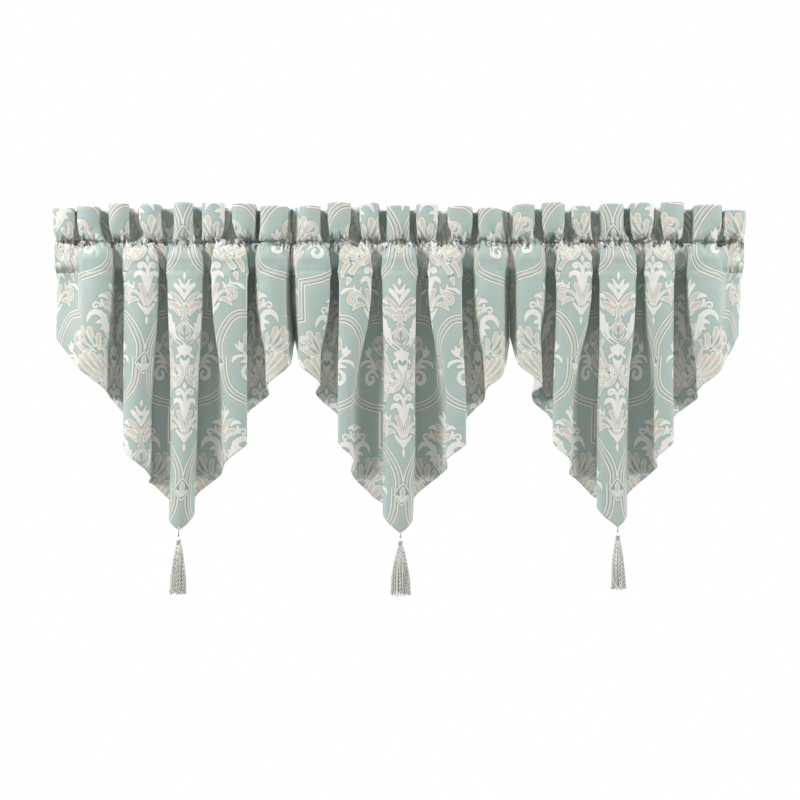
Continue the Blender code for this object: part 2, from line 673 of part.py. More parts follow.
def main():
    clear_scene()
    cloth = make_material("woven damask", CLOTH_COLOUR, 0.6)
    yarn = make_material("tassel yarn", YARN_COLOUR, 0.5)
    metal = make_material("polished cap", METAL_COLOUR, 0.12, 1.0)
    for side, panel in PANELS.items():
        valance, tip = valance_mesh("valance_" + side, panel)
        valance.data.materials.append(cloth)
        build_tassel(side, tip, yarn, metal)


main()
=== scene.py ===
# %% [markdown]
# An ascot valance is a short, pointed, gathered curtain. Here are three of them side by side, sewn from a
# jacquard damask, with a ruffled heading over a rod pocket and a tassel at each point. The solids of the
# imported model give the size and the folds. This lesson dresses them with fine cloth, its woven pattern,
# stitching, tassels and light. The first step loads the imported model and keeps its parts, and a helper
# reads a part's box for later.

# %% Load the imported model
import json
import math
import random

import bmesh
import bpy
import numpy as np
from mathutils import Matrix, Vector

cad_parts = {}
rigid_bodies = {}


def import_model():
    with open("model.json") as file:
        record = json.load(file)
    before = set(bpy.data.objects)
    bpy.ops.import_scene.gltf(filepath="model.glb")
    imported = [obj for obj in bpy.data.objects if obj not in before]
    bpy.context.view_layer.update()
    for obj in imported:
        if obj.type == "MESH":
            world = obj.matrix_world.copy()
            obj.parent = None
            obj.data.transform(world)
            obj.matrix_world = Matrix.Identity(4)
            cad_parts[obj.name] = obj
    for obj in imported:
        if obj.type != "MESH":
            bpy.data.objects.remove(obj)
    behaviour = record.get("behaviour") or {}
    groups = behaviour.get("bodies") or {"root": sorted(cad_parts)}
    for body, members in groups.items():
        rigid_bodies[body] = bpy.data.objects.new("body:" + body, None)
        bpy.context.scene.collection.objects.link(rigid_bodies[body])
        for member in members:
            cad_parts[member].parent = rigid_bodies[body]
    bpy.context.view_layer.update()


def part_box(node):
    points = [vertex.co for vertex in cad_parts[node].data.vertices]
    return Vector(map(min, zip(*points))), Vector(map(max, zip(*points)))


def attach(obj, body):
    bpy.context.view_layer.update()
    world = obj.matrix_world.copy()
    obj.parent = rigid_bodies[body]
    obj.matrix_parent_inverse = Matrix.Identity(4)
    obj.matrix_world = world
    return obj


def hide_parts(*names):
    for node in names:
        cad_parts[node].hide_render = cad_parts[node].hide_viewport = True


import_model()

MM = 0.001

# %% [markdown]
# The camera stands where the photographer stood: about five metres in front, level with the middle of the
# cloth. A long lens at that distance keeps the folds from spreading. It comes before the rest, because
# everything after it is judged through it. A camera could also be aimed with a constraint, but one fixed
# place and one fixed angle say more plainly what it does.

# %% Set the camera
CAMERA_DISTANCE = 5.0
PICTURE_WIDTH = 2.08        # metres that the picture shows at the rod's distance
PICTURE_MIDDLE = -0.3705    # height of the picture's middle
SENSOR = 36.0

eye = bpy.data.cameras.new("studio camera")
eye.sensor_width = SENSOR
eye.lens = SENSOR * CAMERA_DISTANCE / PICTURE_WIDTH
camera = bpy.data.objects.new("studio camera", eye)
camera.location = (0.0, -CAMERA_DISTANCE, PICTURE_MIDDLE)
camera.rotation_euler = (math.radians(90), 0.0, 0.0)
bpy.context.scene.collection.objects.link(camera)
bpy.context.scene.camera = camera
print("lens", round(eye.lens, 1), "mm")

# %% [markdown]
# Materials need four small helpers. The eye picks colours on a screen as sRGB, but the renderer adds up light
# in linear numbers, so the first turns hex values to linear. The second adds a shader node with its settings
# and its links in one line, which keeps a network readable. The third starts a material with what is the same
# all over its surface, and the fourth gives it noise that is stretched along a thread or a rib.

# %% Four helpers for materials
def colour(hex_value):
    """Linear colour from an sRGB hex value, by the numbers of the sRGB standard."""
    channels = [int(hex_value[i:i + 2], 16) / 255 for i in (0, 2, 4)]
    linear = [c / 12.92 if c <= 0.04045 else ((c + 0.055) / 1.055) ** 2.4 for c in channels]
    return (*linear, 1.0)


def node(tree, kind, settings=None, **links):
    """Adds a node. Settings are attributes or input values, and links are sockets to plug in."""
    made = tree.nodes.new("ShaderNode" + kind)
    for key, value in (settings or {}).items():
        if isinstance(key, int) or key in made.inputs:
            made.inputs[key].default_value = value
        else:
            setattr(made, key, value)
    for key, socket in links.items():
        spot = int(key[1:]) if key[0] == "i" and key[1:].isdigit() else key.replace("_", " ")
        tree.links.new(socket, made.inputs[spot])
    return made


def new_material(name, roughness, metallic=0.0, base="FFFFFF"):
    """A material with one colour, its node tree and its shader."""
    material = bpy.data.materials.new(name)
    material.use_nodes = True
    shader = material.node_tree.nodes["Principled BSDF"]
    shader.inputs["Base Color"].default_value = colour(base)
    shader.inputs["Roughness"].default_value = roughness
    shader.inputs["Metallic"].default_value = metallic
    material.diffuse_color = colour(base)
    return material, material.node_tree, shader


def stretched_noise(tree, scale, detail, distortion=0.0, place=None):
    """Noise with its own scale along each axis, at a place or else in the object's own metres."""
    place = place or node(tree, "TexCoord").outputs["Object"]
    scaled = node(tree, "Mapping", {"Scale": scale}, Vector=place)
    noise = node(tree, "TexNoise", {"Scale": 1.0, "Detail": detail, "Distortion": distortion},
                 Vector=scaled.outputs[0])
    return noise.outputs["Fac"]


print("sage ground in linear light:", [round(c, 3) for c in colour("96ACA8")])

# %% [markdown]
# The folds come first. A sewer would lay the flat panel on the table, and mark on it where each fold's front
# and each valley's floor will be. The tables below do the same: they pair places across the flat cloth with
# places along the rod. Cloth simulation could gather a panel too, but it would not put each fold where this
# valance has it. All sizes are in millimetres, and x is measured from each panel's own middle.

# %% Sizes of the cloth and of its folds
CLOTH_WIDTH = 1300.0
CLOTH_HALF = CLOTH_WIDTH / 2
HEM_SLOPE = 0.76            # fall of the V cut for each mm across the flat cloth
HEADING_SEAM = 38.0         # heights above the rod's axis: upper line of stitches
POCKET_SEAM = -38.0         # lower line of stitches
POCKET_FOOT = -56.0         # where the cloth has nearly come out of the lower line of stitches
UPPER_STATION = -85.0       # where the body's folds are full
FOOT_SHARE = 0.75           # share of the full folds at the pocket's foot
SETTLE_DROP = 330.0         # drop over which the folds move to where they meet the hem
DRIFT_REACH = 60.0          # cloth each side of the point that leans with it
DRIFT_FROM = 0.6            # share of the way down from which the point leans
ROD_CLEAR = 14.5            # from the rod's axis to the pocket's walls where they lie closest
POCKET_RIDGE = 35.0         # how much further the pocket's front wall stands off at a ridge
POCKET_BACK_RIDGE = 26.0    # and its back wall at a valley
SEAM_MEAN = -12.0           # depth of both lines of stitches where no fold moves them
HEADING_PINCH = 0.35        # share of the folds' depth that is left at the upper line of stitches
POCKET_PINCH = 0.85         # and at the lower one
RIDGE_FLOOR = 10.0          # depth at which a fold counts as a valley
RIDGE_DEPTH = 60.0          # depth from there to a full ridge
CREST_BULGE = 0.42          # roundness of a ridge's front, for each mm of its spare cloth
CREST_BULGE_RANGE = (10.0, 44.0)
FLOOR_CURVE = 3.0           # how much higher a valley's floor lies at its sides
TUCK_LIMIT = 15.0           # most that the cloth tucks in behind a ridge
TUCK_SHARE = 0.26           # and most of it as a share of the ridge's width
HEADING_CREST = -36.0       # depth of the heading's ridges
HEADING_FLOOR = 14.0        # depth of the gaps between them
NARROW_GAP_FLOOR = -14.0    # and of gaps too narrow to open
GAP_INSET = 2.5             # how far a gap's floor keeps from the ridges beside it
GAP_CLOTH = 0.38            # share of a gap's cloth that turns in on each side of it
HEADING_HALF_CLOTH = 33.0   # cloth each side of the middle of a heading's ridge
HEADING_SHOULDER = 2.0      # how much lower a ridge's top lies at its sides
HEADING_DIP = 8.0           # and in the gap beside it

# Rows of the heading: share of its height, share of the folds' depth, share of the pocket's shape
HEADING_ROWS = ((1.0, 1.0, 0.0), (0.62, 0.96, 0.0), (0.26, 0.84, 0.2))
# Rows of the pocket: height, share of the pocket's shape, share of the ridges' stand-off at front, at back
POCKET_ROWS = ((17.0, 0.85, 0.86, 0.8), (-3.0, 1.0, 1.0, 1.0), (-20.0, 1.0, 0.92, 0.8))
# Rows of the body: share of the way from the upper station to the hem
BODY_ROWS = (0.0, 0.18, 0.42, 0.7, 1.0)

# The upper body's folds: fold, kind, depth
UPPER_FOLDS = (("A", "ridge", -47), ("AB", "valley", 24), ("B", "ridge", -52), ("BC", "valley", 10),
               ("C", "ridge", -50), ("CD", "valley", 10), ("D", "ridge", -53), ("DE", "valley", 24),
               ("E", "ridge", -48))
# Cloth at both ends of each valley's floor in the upper body
VALLEY_CLOTH = {"AB": (-418, -364), "BC": (-160, -116), "CD": (116, 160), "DE": (354, 408)}
# Depth of each fold where it meets the hem
HEM_DEPTH = {"A": -42, "AB": 16, "B": -48, "BC": 6, "C": -48, "CD": 12, "D": -46, "DE": 18, "E": -42}
# Columns of a side edge's row in the panels' tables
HEAD_X, POCKET_X, UPPER_X, HEM_X, HEAD_Y, UPPER_Y, HEM_Y, CORNER_Z = range(8)
print("flat cloth:", CLOTH_WIDTH, "mm wide; the hem falls", round(CLOTH_HALF * HEM_SLOPE), "mm on each half")

# %% [markdown]
# Each panel hangs a little differently, so each has its own table. It starts with the panel's middle on the
# rod, its point, how far up the pattern is shifted, how much further it is in the heading, at the sides and
# in the middle, and any narrow extra ridge at one side of the heading. Then come the heading's ridges as
# middle, width, top and place on the cloth, the five body ridges as left and right side, each with the flat
# cloth there, and every fold again where it meets the hem. The two side edges come last: x in the heading, in
# the pocket, in the upper body and at the hem, depth in the heading, in the upper body and at the hem, and
# the corner's height.

# %% Tables of the three panels
PANELS = {
    "left": {
        "middle": -590.0, "tip_x": 20.0, "tip_z": -706.0, "shift": 0, "sag": (40, 2),
        "flap": ((-640, -580, -307, -252, 126),),
        "heading": ((-218, 55, 130, -512), (-138, 50, 137, -378), (-58, 52, 136, -142), (29, 47, 140, 0),
                    (107, 55, 140, 150), (186, 58, 137, 368), (263, 65, 131, 487)),
        "upper": ((-241, -152, -560, -438), (-125, -35, -295, -177), (-11, 81, -52, 52),
                  (105, 195, 218, 308), (216, 299, 442, 560)),
        "hem": (("A", -243, -171, -556, -473), ("AB", -168, -137, -455, -403),
                ("B", -127, -55, -291, -172), ("BC", -51, -14, -150, -106),
                ("C", -3, 64, -62, 52), ("CD", 64, 124, 120, 187),
                ("D", 136, 195, 224, 294), ("DE", 197, 233, 403, 442),
                ("E", 244, 306, 484, 564)),
        "edges": ((-309, -306, -305, -305, 8, 14, 10, 117), (305.4, 305.6, 305.6, 315, 14, 24, 26, 126)),
    },
    "middle": {
        "middle": 0.0, "tip_x": 1.0, "tip_z": -713.5, "shift": 14, "sag": (31, 19),
        "flap": (),
        "heading": ((-234, 53, 131, -533), (-158, 57, 140, -378), (-80, 47, 139, -142), (-4, 55, 132, -10),
                    (70, 53, 136, 150), (155, 62, 130, 355), (230, 52, 126, 493)),
        "upper": ((-264, -181, -570, -478), (-157, -74, -310, -218), (-46, 43, -52, 52),
                  (75, 159, 214, 310), (192, 273, 436, 560)),
        "hem": (("A", -260, -206, -577, -504), ("AB", -203, -164, -447, -403),
                ("B", -160, -119, -312, -244), ("BC", -112, -65, -174, -114),
                ("C", -41, 38, -68, 44), ("CD", 44, 107, 128, 197),
                ("D", 119, 170, 247, 302), ("DE", 175, 219, 390, 452),
                ("E", 222, 266, 484, 540)),
        "edges": ((-283.4, -283.6, -283.6, -273, 14, 24, 26, 128),
                  (283.4, 283.6, 283.6, 286.5, 14, 26, 26, 118)),
    },
    "right": {
        "middle": 589.0, "tip_x": -28.0, "tip_z": -698.0, "shift": 0, "sag": (34, 0),
        "flap": ((528, 600, 248, 305, 120),),
        "heading": ((-266, 49, 135, -530), (-191, 55, 140, -383), (-121, 47, 131, -145), (-40, 56, 137, 0),
                    (38, 58, 139, 150), (116, 56, 141, 342), (208, 68, 134, 480)),
        "upper": ((-290, -212, -562, -436), (-185, -94, -292, -181), (-73, 20, -52, 52),
                  (45, 120, 181, 293), (156, 245, 432, 546)),
        "hem": (("A", -285, -220, -559, -478), ("AB", -241, -198, -426, -372),
                ("B", -192, -143, -291, -208), ("BC", -130, -86, -158, -100),
                ("C", -78, -1, -73, 52), ("CD", 10, 68, 118, 184),
                ("D", 69, 118, 224, 296), ("DE", 130, 172, 380, 421),
                ("E", 180, 247, 458, 548)),
        "edges": ((-304.4, -304.6, -304.6, -301, 14, 24, 26, 121), (309, 303, 299, 293, 8, 14, 10, 109)),
    },
}
print("panels:", ", ".join(PANELS))

# %% [markdown]
# A fold seen from above is a smooth line through a few marked places. The function below draws that line
# without humps of its own, because a spline that overshoots would make folds that aren't there. Ridges are
# round at the front, valleys are shallow hollows, and the cloth between them tucks in behind the ridge.

# %% Smooth lines through marked places
def ease(share):
    """Goes smoothly from 0 to 1 as share does."""
    share = np.clip(share, 0.0, 1.0)
    return share * share * (3.0 - 2.0 * share)


def calm_slopes(step, rise):
    """Slopes at the places of a curve that turns only where its values do; works on rows."""
    slope = np.zeros((rise.shape[0] + 1,) + rise.shape[1:])
    slope[0] = rise[0]
    slope[-1] = rise[-1]
    weight = 2 * step[1:] + step[:-1]
    other = step[1:] + 2 * step[:-1]
    same = rise[:-1] * rise[1:] > 0
    before = np.where(same, rise[:-1], 1.0)
    after = np.where(same, rise[1:], 1.0)
    slope[1:-1] = np.where(same, (weight + other) / (weight / before + other / after), 0.0)
    return slope


def between(share, step, first, last, slope_first, slope_last):
    """Value between two places of a curve."""
    rest = 1 - share
    start = (1 + 2 * share) * rest ** 2 * first + share * rest ** 2 * step * slope_first
    return start + (3 - 2 * share) * share ** 2 * last - rest * share ** 2 * step * slope_last


def curve_through(at, knots):
    """Smooth curve through (position, value) knots that adds no humps of its own between them."""
    place, value = np.array(sorted(knots), dtype=float).T
    step = np.diff(place)
    slope = calm_slopes(step, np.diff(value) / step)
    i = np.clip(np.searchsorted(place, at, side="right") - 1, 0, len(step) - 1)
    return between((at - place[i]) / step[i], step[i], value[i], value[i + 1], slope[i], slope[i + 1])


def curve_down(z, heights, values):
    """The same down every column at once: values at heights (rows, columns), wanted at z."""
    step = np.diff(-heights, axis=0)
    slope = calm_slopes(step, np.diff(values, axis=0) / step)
    i = np.clip((z[:, None, :] <= heights[None, 1:-1, :]).sum(axis=1), 0, len(step) - 1)
    column = np.arange(heights.shape[1])[None, :]
    share = np.clip((heights[i, column] - z) / step[i, column], 0.0, 1.0)
    return between(share, step[i, column], values[i, column], values[i + 1, column],
                   slope[i, column], slope[i + 1, column])


print("a quarter of the way up a calm curve:", curve_through(0.25, ((0, 0), (1, 1), (2, 1))).round(2))

# %% Ridges, valleys and the tucks between them
def ridge_knots(left, right, cloth_left, cloth_right, crest, bulge):
    """Round front of one ridge, as (cloth, x, y) knots."""
    half, quarter = (right - left) / 2, math.sin(math.pi / 4)
    crown = math.hypot(half * quarter, bulge * (1 - quarter))
    share = crown / (crown + math.hypot(half * (1 - quarter), bulge * quarter))
    knots = []
    for turn, cloth_share in ((-1, -1), (-0.5, -share), (0, 0), (0.5, share), (1, 1)):
        angle = turn * math.pi / 2
        knots.append(((cloth_left + cloth_right + (cloth_right - cloth_left) * cloth_share) / 2,
                      (left + right + (right - left) * math.sin(angle)) / 2,
                      crest + bulge * (1 - math.cos(angle))))
    return knots


def valley_knots(left, right, cloth_left, cloth_right, floor):
    """Hollow floor of one valley, as (cloth, x, y) knots."""
    return [(cloth_left, left, floor - FLOOR_CURVE),
            ((cloth_left + cloth_right) / 2, (left + right) / 2, floor),
            (cloth_right, right, floor - FLOOR_CURVE)]


def tuck_knot(start, end, inward, ridge_width):
    """Middle of the cloth hidden between a ridge's side and a valley's floor."""
    length = abs(end[0] - start[0])
    reach = math.hypot(end[1] - start[1], end[2] - start[2])
    spare = 0.5 * math.sqrt(max(length ** 2 - reach ** 2, 0.0))
    tuck = min(spare, TUCK_LIMIT, TUCK_SHARE * ridge_width)
    return ((start[0] + end[0]) / 2, (start[1] + end[1]) / 2 + inward * tuck, (start[2] + end[2]) / 2)


def folded_plan(faces, edges):
    """Joins (kind, left, right, cloth left, cloth right, depth) faces and two edges into knots."""
    knots = [(-CLOTH_HALF, edges[0][0], edges[0][1])]
    before = None
    for kind, left, right, cloth_left, cloth_right, depth in faces:
        if kind == "ridge":
            spare = math.sqrt(max((cloth_right - cloth_left) ** 2 - (right - left) ** 2, 0.0))
            bulge = min(max(CREST_BULGE * spare, CREST_BULGE_RANGE[0]), CREST_BULGE_RANGE[1])
            group = ridge_knots(left, right, cloth_left, cloth_right, depth, bulge)
        else:
            group = valley_knots(left, right, cloth_left, cloth_right, depth)
        if before is not None:
            ridge_before = before[0] == "ridge"
            width = before[1] if ridge_before else right - left
            knots.append(tuck_knot(knots[-1], group[0], -1 if ridge_before else 1, width))
        knots.extend(group)
        before = (kind, right - left)
    knots.append((CLOTH_HALF, edges[1][0], edges[1][1]))
    return knots


def plan_curve(cloth, knots):
    """x and y of a plan at places of the cloth."""
    return (curve_through(cloth, [(k[0], k[1]) for k in knots]),
            curve_through(cloth, [(k[0], k[2]) for k in knots]))


print("knots on one ridge:", len(ridge_knots(-40, 40, -50, 50, HEADING_CREST, CREST_BULGE_RANGE[1])))

# %% Plans of the body, the hem and the heading
def upper_faces(panel):
    """The upper body's ridges where the panel's table has them, with the valleys between."""
    sides = panel["upper"]
    faces = []
    for i, (fold, kind, depth) in enumerate(UPPER_FOLDS):
        if kind == "ridge":
            faces.append((kind, *sides[i // 2], depth))
        else:
            faces.append((kind, sides[i // 2][1], sides[i // 2 + 1][0], *VALLEY_CLOTH[fold], depth))
    return faces


def hem_faces(panel):
    """The folds where they meet the hem."""
    return [("ridge" if len(fold) == 1 else "valley", left, right, cloth_left, cloth_right, HEM_DEPTH[fold])
            for fold, left, right, cloth_left, cloth_right in panel["hem"]]


def heading_faces(panel):
    """The heading's ridges and the flat gaps between them, with (cloth, height) knots of its top edge."""
    left_edge, right_edge = panel["edges"]
    ridges = [(cloth - HEADING_HALF_CLOTH, cloth + HEADING_HALF_CLOTH, middle - width / 2, middle + width / 2,
               top) for middle, width, top, cloth in panel["heading"]]
    ridges = sorted(ridges + list(panel["flap"]))
    faces = []
    tops = [(-CLOTH_HALF, left_edge[CORNER_Z])]
    for i, (cloth_left, cloth_right, left, right, top) in enumerate(ridges):
        if i:
            _start, cloth_before, _left, before, top_before = ridges[i - 1]
            inset = min(GAP_INSET, (left - before) / 4)
            rest = (cloth_left - cloth_before) * GAP_CLOTH
            depth = HEADING_FLOOR if left - before > 4 * GAP_INSET else NARROW_GAP_FLOOR
            faces.append(("valley", before + inset, left - inset,
                          cloth_before + rest, cloth_left - rest, depth))
            tops.append(((cloth_before + cloth_left) / 2, min(top_before, top) - HEADING_DIP))
        faces.append(("ridge", left, right, cloth_left, cloth_right, HEADING_CREST))
        tops.append((cloth_left, top - HEADING_SHOULDER))
        tops.append(((cloth_left + cloth_right) / 2, top))
        tops.append((cloth_right, top - HEADING_SHOULDER))
    tops.append((CLOTH_HALF, right_edge[CORNER_Z]))
    return faces, tops


def stations(panel, cloth):
    """Plan of the panel at each station: x, y and z of the front, and of the pocket's back."""
    edges = panel["edges"]
    head_faces, top_knots = heading_faces(panel)
    top = curve_through(cloth, top_knots)
    head_x, head_y = plan_curve(cloth, folded_plan(head_faces, [(e[HEAD_X], e[HEAD_Y]) for e in edges]))
    folds = upper_faces(panel)
    pocket_x, _y = plan_curve(cloth, folded_plan(folds, [(e[POCKET_X], -ROD_CLEAR) for e in edges]))
    upper_x, upper_y = plan_curve(cloth, folded_plan(folds, [(e[UPPER_X], e[UPPER_Y]) for e in edges]))
    hem_x, hem_y = plan_curve(cloth, folded_plan(hem_faces(panel), [(e[HEM_X], e[HEM_Y]) for e in edges]))
    ridge = np.clip((RIDGE_FLOOR - upper_y) / RIDGE_DEPTH, 0.0, 1.0)
    hem_z = panel["tip_z"] + HEM_SLOPE * np.abs(cloth)
    level = np.ones_like(cloth)

    heading, pocket, back, body = [], [], [], []
    for share, depth_left, body_share in HEADING_ROWS:
        heading.append(((1 - body_share) * head_x + body_share * pocket_x,
                        SEAM_MEAN + depth_left * (head_y - SEAM_MEAN),
                        HEADING_SEAM + share * (top - HEADING_SEAM)))
    seam_y = SEAM_MEAN + HEADING_PINCH * ((head_y + upper_y) / 2 - SEAM_MEAN)
    seam = ((head_x + pocket_x) / 2, seam_y, HEADING_SEAM * level)
    heading.append(seam)
    pocket.append(seam)
    back.append(seam)
    for height, body_share, front_share, back_share in POCKET_ROWS:
        x = (1 - body_share) * head_x + body_share * pocket_x
        pocket.append((x, -ROD_CLEAR - POCKET_RIDGE * front_share * ridge, height * level))
        back.append((x, ROD_CLEAR + POCKET_BACK_RIDGE * back_share * (1 - ridge), height * level))
    low_y = SEAM_MEAN + POCKET_PINCH * (upper_y - SEAM_MEAN)
    seam = (pocket_x, low_y, POCKET_SEAM * level)
    pocket.append(seam)
    back.append(seam)
    body.append(seam)
    body.append(((pocket_x + upper_x) / 2, (1 - FOOT_SHARE) * low_y + FOOT_SHARE * upper_y,
                 POCKET_FOOT * level))
    settle = np.minimum(SETTLE_DROP, UPPER_STATION - hem_z)
    lean = panel["tip_x"] - np.interp(0.0, cloth, hem_x)
    for share in BODY_ROWS:
        z = UPPER_STATION + share * (hem_z - UPPER_STATION)
        settled = ease((UPPER_STATION - z) / settle)
        drift = np.exp(-(cloth / DRIFT_REACH) ** 2) * ease((share - DRIFT_FROM) / (1 - DRIFT_FROM))
        body.append(((1 - settled) * upper_x + settled * hem_x + drift * lean,
                     (1 - settled) * upper_y + settled * hem_y, z))
    groups = [np.array(group).transpose(1, 0, 2) for group in (heading, pocket, back, body)]
    return groups, top, hem_z


plan_groups = stations(PANELS["middle"], np.linspace(-CLOTH_HALF, CLOTH_HALF, 11))[0]
print("stations of heading, pocket, back, body:", [group.shape[1] for group in plan_groups])

# %% [markdown]
# Gathering draws the cloth together along each line of stitches. At the upper line the thread holds it down
# in a groove, and the spare cloth stands up beside it in soft puffs with narrow creases between them, and in
# broad swells that reach into the heading and the pocket. The lower line lies under the full folds, so it
# shows as a shallow roll with faint puffs. The body and the heading have long soft creases too. A cloth
# simulation could find all these by itself, but here they are waves along the flat cloth, seeded so that each
# run gives the same ones.

# %% Gathers and creases
# Seams: height, depth of the gathers, how far they reach, depth of the groove (a roll when below zero), its
# half width, how far the line of stitches wavers, number of their draw
SEAM_GATHERS = ((HEADING_SEAM, 12.0, 14.0, 7.5, 3.2, 4.2, 1), (POCKET_SEAM, 2.0, 12.0, -3.2, 15.0, 0.8, 2))
GATHER_PITCHES = (21.0, 34.0, 50.0)     # mm of cloth between neighbouring creases of each set
GATHER_LEAN = 0.7           # most that a crease leans, in mm across for each mm away from the stitches
GATHER_BEND = 0.9           # how unevenly a set's creases are spaced
GATHER_FULLNESS = 0.7       # the lower, the fuller a puff and the narrower the crease beside it
GATHER_UNEVEN = (150.0, 230.0)          # mm of cloth over which the gathers grow and fade
# The line of stitches wavers in this number of waves, with lengths in this range
WAVER_COUNT, WAVER_LENGTHS = 3, (25.0, 70.0)
# Broad swell round the upper seam: its depth, its reach, how much wider it is than the gathers
SWELL_DEPTH, SWELL_REACH, SWELL_WIDER = 10.0, 32.0, 2.6
# Long creases: depth, mm over which they set in, number of waves, their lengths, slant, number of their draw
BODY_CREASES = (1.3, 60.0, 4, (60.0, 130.0), 0.22, 3)
HEADING_CREASES = (0.9, 30.0, 3, (40.0, 80.0), 0.3, 4)


def waves(cloth, height, seed, count, length_range, slant):
    """Sum of uneven waves across the cloth, from -1 to 1 or so, slanted a little down the cloth."""
    draw = random.Random(seed)
    total = np.zeros_like(cloth)
    for _wave in range(count):
        length = draw.uniform(*length_range)
        phase = draw.uniform(0.0, 2 * math.pi)
        lean = draw.uniform(-slant, slant)
        # the wave itself grows and fades along the cloth
        swell = 0.6 + 0.4 * np.sin(2 * math.pi * cloth / (length * draw.uniform(5, 9)) + phase)
        total = total + swell * np.sin(2 * math.pi * (cloth + lean * height) / length + phase)
    return total / math.sqrt(count)


def gathers(cloth, away, seed):
    """Soft puffs with narrow creases between them, from -1 in a crease to 0.5 on a puff."""
    draw = random.Random(seed)
    puff = np.ones_like(cloth)
    for pitch in GATHER_PITCHES:
        lean = draw.uniform(-GATHER_LEAN, GATHER_LEAN)
        phase = draw.uniform(0.0, math.pi)
        bend = GATHER_BEND * np.sin(2 * math.pi * cloth / (pitch * draw.uniform(4, 7)) + phase)
        fold = np.abs(np.sin(math.pi * (cloth + lean * away) / pitch + phase + bend)) ** GATHER_FULLNESS
        puff = np.minimum(puff, fold)
    unevenness = 0.7 + 0.3 * np.sin(2 * math.pi * cloth / draw.uniform(*GATHER_UNEVEN) + phase)
    return (1.5 * puff - 1.0) * unevenness


def relief(cloth, height, seed):
    """How far the cloth stands off its smooth fold, in mm towards the room."""
    total = np.zeros_like(cloth)
    for seam, depth, reach, groove, groove_half, waver, seam_seed in SEAM_GATHERS:
        line = seam + waver * waves(cloth, 0.0, seed + seam_seed + 6, WAVER_COUNT, WAVER_LENGTHS, 0.0)
        away = np.abs(height - line)
        total = total + depth * np.exp(-away / reach) * gathers(cloth, away, seed + seam_seed)
        total = total - groove * np.exp(-(away / groove_half) ** 2)
    off = np.abs(height - HEADING_SEAM)
    swell = gathers(cloth / SWELL_WIDER, off / SWELL_WIDER, seed + 9)
    total = total + SWELL_DEPTH * np.exp(-(off / SWELL_REACH) ** 2) * swell
    for past, creases in ((POCKET_SEAM - height, BODY_CREASES), (height - HEADING_SEAM, HEADING_CREASES)):
        depth, onset, count, lengths, slant, crease_seed = creases
        total = total + depth * ease(past / onset) * waves(cloth, height, seed + crease_seed, count, lengths,
                                                           slant)
    return total


probe = relief(np.linspace(-100, 100, 200), np.full(200, 30.0), 5)
print("gathers near the upper seam:", probe.min().round(1), "to", probe.max().round(1), "mm")

# %% [markdown]
# The pattern is a traditional damask: an ogee trellis of ribbons with a diamond at each crossing, and in each
# ogee a tree of palmettes, acanthus leaves, scrolls and sprigs. A jacquard loom floats ivory and cream
# threads over a sage satin. The leaves are drawn here as brush strokes: a bent spine and a width at its
# start, middle and end. A picture could carry the pattern too, but strokes stay sharp at any size, and they
# can be moved one by one. Their unit is 2.6 mm of cloth.

# %% Sizes of the damask
UNIT = 2.6                  # mm of cloth for one unit of the drawing
COLUMN = 83.5               # units between neighbouring columns of ogees
REPEAT = 251.5              # units from one ogee to the next below it
DROP = REPEAT / 2           # each column sits half a repeat lower than the last
PATTERN_TOP = 20.5          # the drawing's zero lies this many units below the rod's axis
FAR = 6.0                   # beyond this many units from a stroke its edge no longer matters
RIBBON_FAR = 8.0            # and beyond this many from a ribbon's middle the ribbon's
DIAMOND = (9.0, 12.0)       # half width and half height
DIAMOND_POWER = 1.15        # 1 for straight sides, and above 1 they bulge
DAB_SPACING = 0.6           # units between the round dabs of a stroke
LEAST_DABS = 8
SCROLL_DABS = 70
DOWN_FROM = 20.0            # each column of the drawing is kept from here to one repeat below
print("repeat of the damask:", round(2 * COLUMN * UNIT), "x", round(REPEAT * UNIT), "mm")

# Ribbon from one diamond to the next: across, down
RIBBON = ((7.2, 0), (7, 8), (7.4, 15), (8.6, 20.5), (10.8, 25.5), (14.4, 30), (19.5, 33.8), (26, 36.8),
          (33, 38.8), (40, 40.2), (46.5, 41), (46.5, 76.8), (57, 77.4), (62, 79.4), (66, 83.2), (69.4, 87.6),
          (72.8, 93), (75.6, 98.4), (78, 104), (79.3, 109), (79.8, 115), (79, 125.75))

